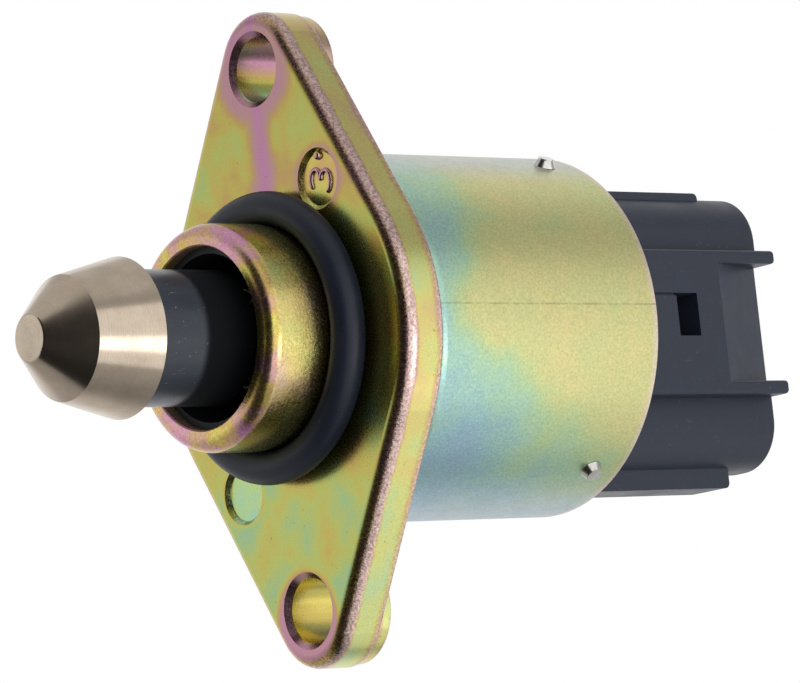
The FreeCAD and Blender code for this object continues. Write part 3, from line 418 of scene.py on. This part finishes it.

# %% [markdown]
# ### Skin of the can
# Drawn sheet is smoother than a forging: a low wave and a fine grain are enough. High and low on the can
# the colour is painted greyer, a painted reflection of the film seen at a slant. The line along it is a thin
# band at one height.

# %% Chromated zinc on the can
# For each painted grey: Z where it starts and where it is whole, its share there, and the colour.
PAINTED_SLANT_GREYS = ((0.0112, 0.0146, 0.75, "bfc3c8"), (-0.0128, -0.0162, 0.8, "a9b4c8"))
PAINTED_RIM_HIGHLIGHT, LINE_DARK = "e3cfc6", "6f6b52"
SEAM_HEIGHT = 0.00033


def drawn_line(node, parts, worn):
    """A line 0.24 mm wide along the can at one height, on the side towards -Y, its depth from slow noise."""
    off = node("Math", (parts["Z"], SEAM_HEIGHT), operation="SUBTRACT")
    off = node("Math", (off,), operation="ABSOLUTE")
    depth = node("MapRange", (worn, 0.35, 0.6, 0.05, 0.4))
    across = node("MapRange", (off, 0.00003, 0.00012, depth, 0), **SOFT)
    on_side = node("MapRange", (parts["Y"], -0.012, -0.014, 0, 1), **SOFT)
    return node("Math", (across, on_side), operation="MULTIPLY")


def chromated_can():
    """The film's colour, painted greyer at the top and bottom, a painted pink highlight at the rim, a fine
    grain and the drawing line.
    """
    finish, node, feed, place = new_finish("pale_chromated_zinc", Metallic=1.0)
    parts = node("SeparateXYZ", (place,)).node.outputs
    fine = node("TexNoise", {"Vector": place, "Scale": per_mm(0.22), "Detail": 3.0, "Roughness": 0.7})
    worn = node("TexNoise", {"Vector": place, "Scale": per_mm(1.2), "Detail": 5.0, "Roughness": 0.6})
    wave = node("TexNoise", {"Vector": place, "Scale": per_mm(0.8), "Detail": 6.0, "Roughness": 0.8})
    film = node("Math", (fine, 0.3, can_film(node, place, parts)), operation="MULTIPLY_ADD")
    film = node("Math", (film, 0.15), operation="SUBTRACT")
    colour = node("ValToRGB", (film,), stops=PALE_FILM)
    # Painted reflection: the colour is greyer high and low on the can, where the film is seen at a slant.
    for low, high, most, tint in PAINTED_SLANT_GREYS:
        share = node("MapRange", (parts["Z"], low, high, 0, most), **SOFT)
        colour = node("Mix", {0: share, 6: colour, 7: linear(tint)}, **COLOURS)
    # Painted highlight: a pale pink line along the can's rim.
    rim = node("MapRange", (parts["X"], 0.0279, 0.0288, 0, 0.8), **SOFT)
    colour = node("Mix", {0: rim, 6: colour, 7: linear(PAINTED_RIM_HIGHLIGHT)}, **COLOURS)
    shade = node("MapRange", (fine, 0.3, 0.7, 0.82, 1.1))
    colour = node("VectorMath", (colour, node("CombineXYZ", (shade, shade, shade))), operation="MULTIPLY")
    seam = drawn_line(node, parts, worn)
    colour = node("Mix", {0: seam, 6: colour, 7: linear(LINE_DARK)}, **COLOURS)
    feed({"Base Color": colour,
          "Roughness": node("MapRange", (worn, 0.3, 0.7, 0.33, 0.39), **SOFT),
          "Normal": node("Bump", {"Height": wave, "Strength": 0.3, "Distance": 0.00001})})
    return finish


finishes["can_chromate"] = chromated_can()
print("can:", len(finishes["can_chromate"].node_tree.nodes), "shader nodes")

# %% [markdown]
# ## Turned metal
# The pintle was turned on a lathe: fine rings lie round its axis. The rings come from one-dimensional noise
# read along the outline, which is place along the axis plus distance from it, so they stay even on the
# cones and on the flat tip. The same function serves for the screw, the races, the pins and the nut, each
# with its own colour, ring spacing in millimetres and gloss. The marks of a real tool are finer than most
# of these spacings, which are as wide as they need to be to show. Wound wire has even lines round the axis
# too.

# %% Turned metals
def turned_metal(name, light, dark, gloss, spacing, lines=0.3):
    """Tone = a share of rings and the rest of slow stains with some grain. It goes from dark to light."""
    finish, node, feed, place = new_finish(name, Metallic=1.0)
    flat = node("VectorMath", (place, FLAT), operation="MULTIPLY")
    reach = node("VectorMath", (flat,), "Value", operation="LENGTH")
    along = node("Math", (node("SeparateXYZ", (place,)), reach), operation="ADD")
    rings = node("TexNoise", {"W": along, "Scale": per_mm(spacing)}, noise_dimensions="1D")
    stain = node("TexNoise", {"Vector": place, "Scale": per_mm(3), "Detail": 4.0, "Roughness": 0.6})
    grain = node("TexNoise", {"Vector": place, "Scale": per_mm(0.2), "Detail": 2.0})
    stain = node("Mix", {0: 0.15, 2: stain, 3: grain})
    stain = node("Math", (stain, 1 - lines), operation="MULTIPLY")
    tone = node("Math", (rings, lines, stain), operation="MULTIPLY_ADD")
    feed({"Base Color": node("ValToRGB", (tone,), stops=((0.3, dark), (0.62, light))),
          "Roughness": node("MapRange", (tone, 0.3, 0.7, gloss + 0.06, gloss - 0.04), **SOFT),
          "Normal": node("Bump", {"Height": rings, "Strength": lines / 2, "Distance": 0.00001})})
    return finish


finishes.update({
    # A tan alloy turned with a fine feed: close rings and a soft sheen.
    "turned_metal": turned_metal("turned_alloy_tan", "cbbba8", "ab9d8b",
                                 gloss=0.18, spacing=0.08, lines=0.35),
    # Bright drawn steel: nearly white, with few wide rings.
    "pin_steel": turned_metal("bright_steel", "e6e4e0", "a9a6a0", gloss=0.16, spacing=0.3),
    # Ground bearing steel: an even, clear grey with hair-fine lines.
    "bearing_steel": turned_metal("ground_bearing_steel", "d9d8d4", "b4b2ad", gloss=0.14, spacing=0.08),
    # Rolled steel: darker and a little duller.
    "screw_steel": turned_metal("rolled_screw_steel", "b9b6b0", "8c8984", gloss=0.26, spacing=0.1),
    # Turned brass: warm yellow with clear rings.
    "nut_brass": turned_metal("turned_brass", "dcbb69", "b08c45", gloss=0.22, spacing=0.15),
    # Enamelled copper wire, wound: red brown, with lines like its turns.
    "coil_copper": turned_metal("enamelled_copper", "c4683a", "7a3418", gloss=0.3, spacing=0.2),
})
print(len(finishes), "finishes so far")

# %% [markdown]
# ## Stamped, drawn and sintered stock
# Sheet, wire and pressed powder have no rings: slow clouds run between two tones, over a grain of 0.2 mm.
# The size of the clouds, in millimetres, tells a wide stamped sheet from a speckled sintered ring.

# %% Flat stock
def flat_stock(name, light, dark, gloss, size):
    """Clouds of a size in millimetres between a dark and a light colour, and a grain of 0.2 mm."""
    finish, node, feed, place = new_finish(name, Metallic=1.0)
    clouds = node("TexNoise", {"Vector": place, "Scale": per_mm(size), "Detail": 4.0, "Roughness": 0.6})
    grain = node("TexNoise", {"Vector": place, "Scale": per_mm(0.2), "Detail": 3.0})
    feed({"Base Color": node("ValToRGB", (clouds,), stops=((0.35, dark), (0.62, light))),
          "Roughness": node("MapRange", (clouds, 0.3, 0.7, gloss + 0.08, gloss - 0.04), **SOFT),
          "Normal": node("Bump", {"Height": grain, "Strength": 0.2, "Distance": 0.00001})})
    return finish


finishes.update({
    # Hard drawn wire: grey with a dull shine.
    "spring_steel": flat_stock("drawn_spring_wire", "9b9892", "6f6c67", gloss=0.3, size=1.5),
    # Stamped soft iron: pale grey and satin.
    "lamination_steel": flat_stock("stamped_soft_iron", "c4c2bc", "9a9892", gloss=0.36, size=2.0),
    # Pressed brass sheet: yellow with a clear shine.
    "cage_brass": flat_stock("pressed_brass", "d8b565", "a9843c", gloss=0.28, size=1.5),
    # Sintered bronze: brown and speckled, nearly matt.
    "bush_bronze": flat_stock("sintered_bronze", "b98650", "8a5f34", gloss=0.45, size=0.5),
    # Sintered ferrite: charcoal grey, dull.
    "magnet_ferrite": flat_stock("sintered_ferrite", "57575a", "3a3a3d", gloss=0.5, size=0.8),
    # Brass with a tin coat: silvery and soft.
    "terminal_tin": flat_stock("tinned_brass", "d5d3cc", "a8a59c", gloss=0.26, size=1.2),
})
print(len(finishes), "finishes so far")

# %% [markdown]
# ## Moulded plastic and rubber
# The connector is glass-filled nylon, dark blue grey, with a satin skin from an eroded mould: a grain of
# about 0.15 mm and slow clouds in its gloss. Handling has left pale scuffs. The rubber rings are of nitrile
# and nearly black. Both are plain dielectrics, so what shows is the light that they reflect, and the index
# of refraction of some is set under the real one, because the real pieces look duller. The sleeve behind
# the pintle is dark acetal. Its rear, which moves inside the liner, is painted black, rough and with little
# reflection: painted shade, as dark as the inside of the bore.

# %% Plastics and rubber
SCUFF_GREY, PAINTED_SHADE_BLACK = "8d929c", "0b0e12"


def moulded(name, base, worn, gloss, grain=0.15, scuffs=0.3, ior=1.5, painted_shade_from=None):
    """A base colour, clouds in its gloss, scuffs from stretched noise, dust specks, and a grain. From a
    place along the axis onwards it can be painted black, rough and with little reflection: painted shade."""
    finish, node, feed, place = new_finish(name, IOR=ior)
    clouds = node("TexNoise", {"Vector": place, "Scale": per_mm(4), "Detail": 4.0, "Roughness": 0.6})
    drawn = node("Mapping", {"Vector": place, "Scale": (0.35, 1.0, 1.6), "Rotation": (0.3, 0.5, 0.2)})
    marks = node("TexNoise", {"Vector": drawn, "Scale": per_mm(0.8), "Detail": 6.0, "Roughness": 0.75})
    marks = node("MapRange", (marks, 0.62, 0.74, 0, scuffs), **SOFT)
    dust = node("TexNoise", {"Vector": place, "Scale": per_mm(0.3)})
    dust = node("MapRange", (dust, 0.70, 0.76, 0, scuffs), **SOFT)
    pale = node("Math", (marks, dust), operation="MAXIMUM")
    fade = node("MapRange", (clouds, 0.35, 0.7, 0, 0.35), **SOFT)
    body = node("Mix", {0: fade, 6: linear(base), 7: linear(worn)}, **COLOURS)
    body = node("Mix", {0: pale, 6: body, 7: linear(SCUFF_GREY)}, **COLOURS)
    rough = node("MapRange", (clouds, 0.3, 0.7, gloss - 0.05, gloss + 0.07), **SOFT)
    # Painted shade: from this place along the axis the colour turns black and the reflection falls.
    if painted_shade_from is not None:
        along = node("SeparateXYZ", (place,))
        painted_shade = node("MapRange", (along, painted_shade_from, painted_shade_from + 0.0009, 0, 1), **SOFT)
        body = node("Mix", {0: painted_shade, 6: body, 7: linear(PAINTED_SHADE_BLACK)}, **COLOURS)
        rough = node("Mix", {0: painted_shade, 2: rough, 3: 0.8})
        feed({"Specular IOR Level": node("MapRange", (painted_shade, 0, 1, 0.5, 0.15))})
    skin = node("TexNoise", {"Vector": place, "Scale": per_mm(grain), "Detail": 3.0})
    feed({"Base Color": body, "Roughness": rough,
          "Normal": node("Bump", {"Height": skin, "Strength": 0.25, "Distance": 0.00001})})
    return finish


finishes.update({
    # Acetal, moulded: blue black and silky, with many scuffs; its rear is painted black, painted shade.
    "stem_plastic": moulded("dark_acetal", "1f2733", "2c3642",
                            gloss=0.3, grain=0.2, scuffs=0.6, painted_shade_from=-0.0124),
    # Acetal in the bore's shade: darker to the eye, few marks.
    "liner_plastic": moulded("black_acetal", "23282f", "2b3038", gloss=0.5, grain=0.2, scuffs=0.1, ior=1.4),
    # Nylon with glass: blue grey and satin.
    "housing_plastic": moulded("glass_filled_nylon", "282e3c", "323a4b", gloss=0.42, scuffs=0.18, ior=1.42),
    # Nitrile rubber: nearly black, with a soft wide shine.
    "seal_rubber": moulded("nitrile_rubber", "1b2130", "262c3c",
                           gloss=0.42, grain=0.12, scuffs=0.14, ior=1.4),
    # Nylon without colour: milky cream.
    "bobbin_plastic": moulded("natural_nylon", "c9c3b2", "b9b19c", gloss=0.4),
    # Acetal for the rotor: plain mid grey.
    "hub_plastic": moulded("grey_acetal", "6a6a68", "7c7c79", gloss=0.36),
})
print(len(finishes), "finishes so far")

# %% [markdown]
# ## One finish for each slot of the record
# The record names a slot for each node, so the finishes are kept by slot and handed out in one loop.

# %% Hand out the finishes
slot_of = {row["node"]: row["material_slot"] for row in frame["record"]["subparts"]}
for name, piece in nodes.items():
    for slot in piece.material_slots:
        slot.material = finishes[slot_of[name]]
print(len(finishes), "finishes on", len(nodes), "nodes")

# %% [markdown]
# ## Surfaces from numbers
# New pieces are rings of points worked out as whole arrays, joined by quads and closed at both ends. A tube
# is a circle carried along a path: at each point of the path two directions at right angles to it are
# found, with the help of the valve's axis, and the circle is laid out on them.

# %% Mesh and tube helpers
SHARP = math.radians(50)
AXIS = (1.0, 0.0, 0.0)


def new_piece(name, points, faces, slot, body):
    """A mesh object at the origin, smooth below 50 degrees, with a finish, that rides on a body."""
    mesh = bpy.data.meshes.new(name)
    mesh.from_pydata(points.tolist(), [], faces)
    mesh.shade_smooth()
    mesh.set_sharp_from_angle(angle=SHARP)
    mesh.materials.append(finishes[slot])
    piece = bpy.data.objects.new(name, mesh)
    bpy.context.collection.objects.link(piece)
    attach(piece, body)
    return piece


def tube_faces(rows, columns):
    """Quads between the neighbours on rings of points, and one polygon over each end."""
    row, column = np.meshgrid(np.arange(rows - 1), np.arange(columns), indexing="ij")
    ahead, beside = row + 1, (column + 1) % columns
    corners = (row * columns + column, row * columns + beside,
               ahead * columns + beside, ahead * columns + column)
    sides = np.stack([corner.ravel() for corner in corners], axis=1).tolist()
    ring = np.arange(columns)
    return sides + [ring[::-1].tolist(), (ring + (rows - 1) * columns).tolist()]


def tube(path, radii, sides):
    """P(i, k) = path(i) + radius(i) (cos a(k) u(i) + sin a(k) v(i)). u is square to the path and the axis,
    and v is square to the path and u."""
    ahead = np.gradient(path, axis=0)
    ahead /= np.linalg.norm(ahead, axis=1, keepdims=True)
    across = np.cross(ahead, AXIS)
    across /= np.linalg.norm(across, axis=1, keepdims=True)
    up = np.cross(ahead, across)
    angle = np.linspace(0, 2 * np.pi, sides, endpoint=False)
    cosine, sine = np.cos(angle)[None, :, None], np.sin(angle)[None, :, None]
    circle = cosine * across[:, None] + sine * up[:, None]
    return (path[:, None] + radii[:, None, None] * circle).reshape(-1, 3)


print("a tube of 3 rings of 4 points has", len(tube_faces(3, 4)), "faces")

# %% [markdown]
# ## Cavity number on the flange
# The upper sunk disc holds a plain raised number that names the forging die's cavity, lying on its side,
# and a small stub at the disc's rim. The number is a round bead along a smooth line through a few points,
# half sunk in the disc's floor. A Catmull-Rom curve passes through each point with the slope of its
# neighbours.

# %% The raised number
DISC_FLOOR = 0.0004
BEAD_RADIUS, BEAD_SIDES = 0.00022, 12
NUMBER_LINE = 0.001 * np.array((
    (-6.06, 11.55), (-5.88, 12.18), (-6.02, 12.80), (-6.36, 13.12), (-6.72, 13.11), (-6.99, 12.82),
    (-7.14, 12.28), (-7.28, 12.62), (-7.58, 12.86), (-7.98, 12.84), (-8.30, 12.50), (-8.40, 11.95),
    (-8.22, 11.36), (-7.78, 10.96)))


def smooth_line(points, steps):
    """Catmull-Rom: from b to c a cubic with the slope (c - a) / 2 at b and (d - b) / 2 at c."""
    ends = np.vstack((2 * points[0] - points[1], points, 2 * points[-1] - points[-2]))
    a, b, c, d = ends[:-3, None], ends[1:-2, None], ends[2:-1, None], ends[3:, None]
    t = np.linspace(0, 1, steps, endpoint=False)[None, :, None]
    curve = 0.5 * (2 * b + (c - a) * t + (2 * a - 5 * b + 4 * c - d) * t ** 2
                   + (3 * b - a - 3 * c + d) * t ** 3)
    return np.vstack((curve.reshape(-1, points.shape[1]), points[-1:]))


flat_line = smooth_line(NUMBER_LINE, steps=8)
bead_path = np.column_stack((np.full(len(flat_line), DISC_FLOOR), flat_line))
# The radius is full along the line and falls to a fiftieth at its ends: sqrt(1 - t^40), t from -1 to 1.
taper = np.sqrt(np.clip(1 - np.linspace(-1, 1, len(bead_path)) ** 40, 0.0004, 1))
bead = tube(bead_path, BEAD_RADIUS * taper, BEAD_SIDES)
bead_faces = tube_faces(len(bead_path), BEAD_SIDES)
new_piece("cavity_number", bead, bead_faces, "zinc_chromate", "housing")
print("number bead:", len(bead), "points")

# %% [markdown]
# ### The stub
# Beside the number, at the disc's rim, stands a small round stub. It could be a ball sunk in the floor; a
# dome that is steeper at its foot comes nearer to the real one.

# %% The stub at the disc's rim
STUB_Y, STUB_Z = -0.00710, 0.01428
STUB_FOOT, STUB_HEIGHT, STUB_RADIUS = 0.0005, 0.00045, 0.00042
STUB_ROWS, STUB_SIDES = 9, 24

# A dome: at the angle h, from 90 degrees to 0, it stands out by its height times sin h and its radius is
# STUB_RADIUS times sqrt(cos h), plus a micrometre, so that the top has a small face and no pole.
turn, rise = np.meshgrid(np.linspace(0, 2 * np.pi, STUB_SIDES, endpoint=False), np.linspace(1, 0, STUB_ROWS))
swell = STUB_RADIUS * np.cos(rise * np.pi / 2) ** 0.5 + 1e-6
stub = np.column_stack([part.ravel() for part in (
    STUB_FOOT - STUB_HEIGHT * np.sin(rise * np.pi / 2),
    STUB_Y + swell * np.cos(turn),
    STUB_Z + swell * np.sin(turn))])
new_piece("cavity_stub", stub, tube_faces(STUB_ROWS, STUB_SIDES), "zinc_chromate", "housing")
print("stub:", len(stub), "points")

# %% [markdown]
# ## Spring
# The spring inside the sleeve gets shorter as the pintle goes in, and a rigid solid can't. A tube along a
# helix takes its place, with a mesh of its own.

# %% Spring
COILS, STEPS_PER_TURN, WIRE_SIDES = 8, 40, 10
SPRING_ENDS = (-0.01505, 0.00085)
SPRING_RADIUS, WIRE_RADIUS = 0.0041, 0.0003

# A helix: X goes evenly from end to end, Y and Z are the radius times the cosine and sine of the turn.
turns = np.linspace(0, COILS * 2 * np.pi, COILS * STEPS_PER_TURN + 1)
coil_path = np.column_stack((np.interp(turns, (0, turns[-1]), SPRING_ENDS),
                             SPRING_RADIUS * np.cos(turns), SPRING_RADIUS * np.sin(turns)))
wire = tube(coil_path, np.full(len(coil_path), WIRE_RADIUS), WIRE_SIDES)
spring = new_piece("spring_wire", wire, tube_faces(len(coil_path), WIRE_SIDES), "spring_steel", "housing")
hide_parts("return_spring")
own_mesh(spring)
print("spring:", len(wire), "points")

# %% [markdown]
# ## Lead screw
# The screw's solid is plain, and its looks are a thread. A bump in the finish would leave its outline
# smooth, so it is a surface: the radius rises and falls once in each millimetre of the axis and once in
# each turn, and two flats cut it.

# %% Screw thread
PITCH, CREST, DEPTH, FLAT_AT = 0.001, 0.0025, 0.00035, 0.002
TIP_RADIUS, TIP_LENGTH = 0.0021, 0.0004
ROWS_PER_TURN, THREAD_SIDES = 12, 72

screw_low, screw_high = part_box("lead_screw")
rows = ROWS_PER_TURN * round((screw_high[0] - screw_low[0]) / PITCH) + 1
around, along = np.meshgrid(np.linspace(0, 2 * np.pi, THREAD_SIDES, endpoint=False),
                            np.linspace(screw_low[0], screw_high[0], rows))
# The wave falls from 2 to 0 and rises again in each pitch. The radius is the crest less the depth times the
# wave's middle part, a cone breaks both ends, and Y is cut off at the flats.
wave = np.abs(4 * ((along / PITCH - around / (2 * np.pi)) % 1.0) - 2)
thread = CREST - DEPTH * np.clip(wave - 0.25, 0, 1.5) / 1.5
inset = np.minimum(along - screw_low[0], screw_high[0] - along)
thread = np.minimum(thread, np.interp(inset, (0, TIP_LENGTH), (TIP_RADIUS, CREST)))
across = np.clip(thread * np.cos(around), -FLAT_AT, FLAT_AT)
screw_points = np.column_stack((along.ravel(), across.ravel(), (thread * np.sin(around)).ravel()))
screw = new_piece("screw_thread", screw_points, tube_faces(rows, THREAD_SIDES), "screw_steel", "pintle")
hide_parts("lead_screw")
print("screw:", len(screw_points), "points")

# %% [markdown]
# ## Floor
# The valve floats over a plain pale floor, as held by a stand that the picture doesn't show. The large
# light further down reaches below the floor, so the floor throws no shadow and shows in no metal.

# %% Floor
FLOOR_HEIGHT, FLOOR_HALF = -0.066, 1.5

floor_mesh = bpy.data.meshes.new("studio_floor")
floor_mesh.from_pydata([(x * FLOOR_HALF, y * FLOOR_HALF, FLOOR_HEIGHT)
                        for x, y in ((-1, -1), (1, -1), (1, 1), (-1, 1))], [], [(0, 1, 2, 3)])
finish, node, feed, place = new_finish("matte_paper", Roughness=0.9)
cloud = node("TexNoise", {"Vector": place, "Scale": per_mm(120), "Detail": 3.0})
feed({"Base Color": node("ValToRGB", (cloud,), stops=((0.3, "d3d3d1"), (0.7, "dadad8")))})
floor_mesh.materials.append(finish)
floor = bpy.data.objects.new("studio_floor", floor_mesh)
bpy.context.collection.objects.link(floor)
floor.visible_glossy = False
floor.visible_shadow = False
print("floor", 2 * FLOOR_HALF, "m wide,", -1000 * FLOOR_HEIGHT, "mm below the axis")

# %% [markdown]
# ## Studio surroundings
# Polished metal shows what stands round it. Behind the valve the studio is white, above and in front it is
# grey, to the left of the camera it is dark, which gives the metal its dark bands, and low behind the valve
# it falls off. Each of these is a level worked out from the direction alone: its dot product with the
# middle of that region, turned by a soft step. The camera itself sees plain white.

# %% Studio surroundings
world = bpy.data.worlds.new("studio")
world.use_nodes = True
bpy.context.scene.world = world
sky = world.node_tree
node = partial(add, sky)
direction = node("TexCoord", out="Generated")
parts = node("SeparateXYZ", (direction,)).node.outputs
behind = node("Math", (parts["Z"], 0.25, parts["Y"]), operation="MULTIPLY_ADD")
behind = node("MapRange", (behind, -0.15, 0.45, 0.48, 1.0), **SOFT)
# The dark side is tall: heights are pressed together before its dot product, most below the horizon.
above = node("Math", (parts["Z"], 0.62), operation="MULTIPLY")
below = node("Math", (parts["Z"], 0.05), operation="MULTIPLY")
height = node("Math", (above, below), operation="MAXIMUM")
lowered = node("VectorMath", (node("CombineXYZ", (parts["X"], parts["Y"], height)),), operation="NORMALIZE")
dark_side = node("VectorMath", (lowered, (-0.99, -0.139, 0)), "Value", operation="DOT_PRODUCT")
darkest = node("MapRange", (parts["Z"], 0, -0.6, 0.038, 0.1))
dark_side = node("MapRange", (dark_side, 0.72, 0.84, 1, darkest), **SOFT)
overhead = node("VectorMath", (direction, (-0.3, 0.2, 0.93)), "Value", operation="DOT_PRODUCT")
overhead = node("MapRange", (overhead, 0.5, 0.66, 0, 1), **SOFT)
level = node("Mix", {0: overhead, 2: behind, 3: 0.66})
under = node("VectorMath", (direction, (0.6, -0.5, 1.0)), "Value", operation="DOT_PRODUCT")
under = node("MapRange", (under, -0.45, -1.15, 1, 0.5), **SOFT)
for share in (under, dark_side):
    level = node("Math", (level, share), operation="MULTIPLY")
seen = node("LightPath", out="Is Camera Ray")
shade = node("Mix", {0: seen, 2: level, 3: 1.0})
fill(sky, sky.nodes["Background"], {"Color": shade})
bpy.context.scene.view_settings.view_transform = "Standard"
print("surroundings from", len(sky.nodes), "nodes")

# %% [markdown]
# ## Soft lights
# A large soft light stands to the camera's right: the can, the nose and the pintle each show it as a bright
# band along the side, and a small one inside it makes the band's bright middle. A third lamp lights the
# underside.

# %% Soft lights
def soft_light(name, direction, distance, width, height, watts):
    """A rectangular area light that faces the valve. Its brightness goes as watts / (width height)."""
    lamp = bpy.data.lights.new(name, "AREA")
    lamp.shape = "RECTANGLE"
    lamp.size, lamp.size_y, lamp.energy = width, height, watts
    place = Vector(direction).normalized()
    turned = place.to_track_quat("Z", "Y").to_matrix().to_4x4()
    holder = bpy.data.objects.new(name, lamp)
    holder.matrix_world = Matrix.Translation(place * distance) @ turned
    holder.visible_camera = False
    bpy.context.collection.objects.link(holder)


soft_light("front_light", (0.09, -0.98, -0.10), distance=0.7, width=1.3, height=1.3, watts=3.8)
soft_light("low_light", (0.66, -0.38, -0.65), distance=0.7, width=0.5, height=0.4, watts=0.27)
soft_light("key_light", (0.24, -0.92, -0.30), distance=0.65, width=0.32, height=0.22, watts=0.5)
print("lights:", [lamp.name for lamp in bpy.data.lights])
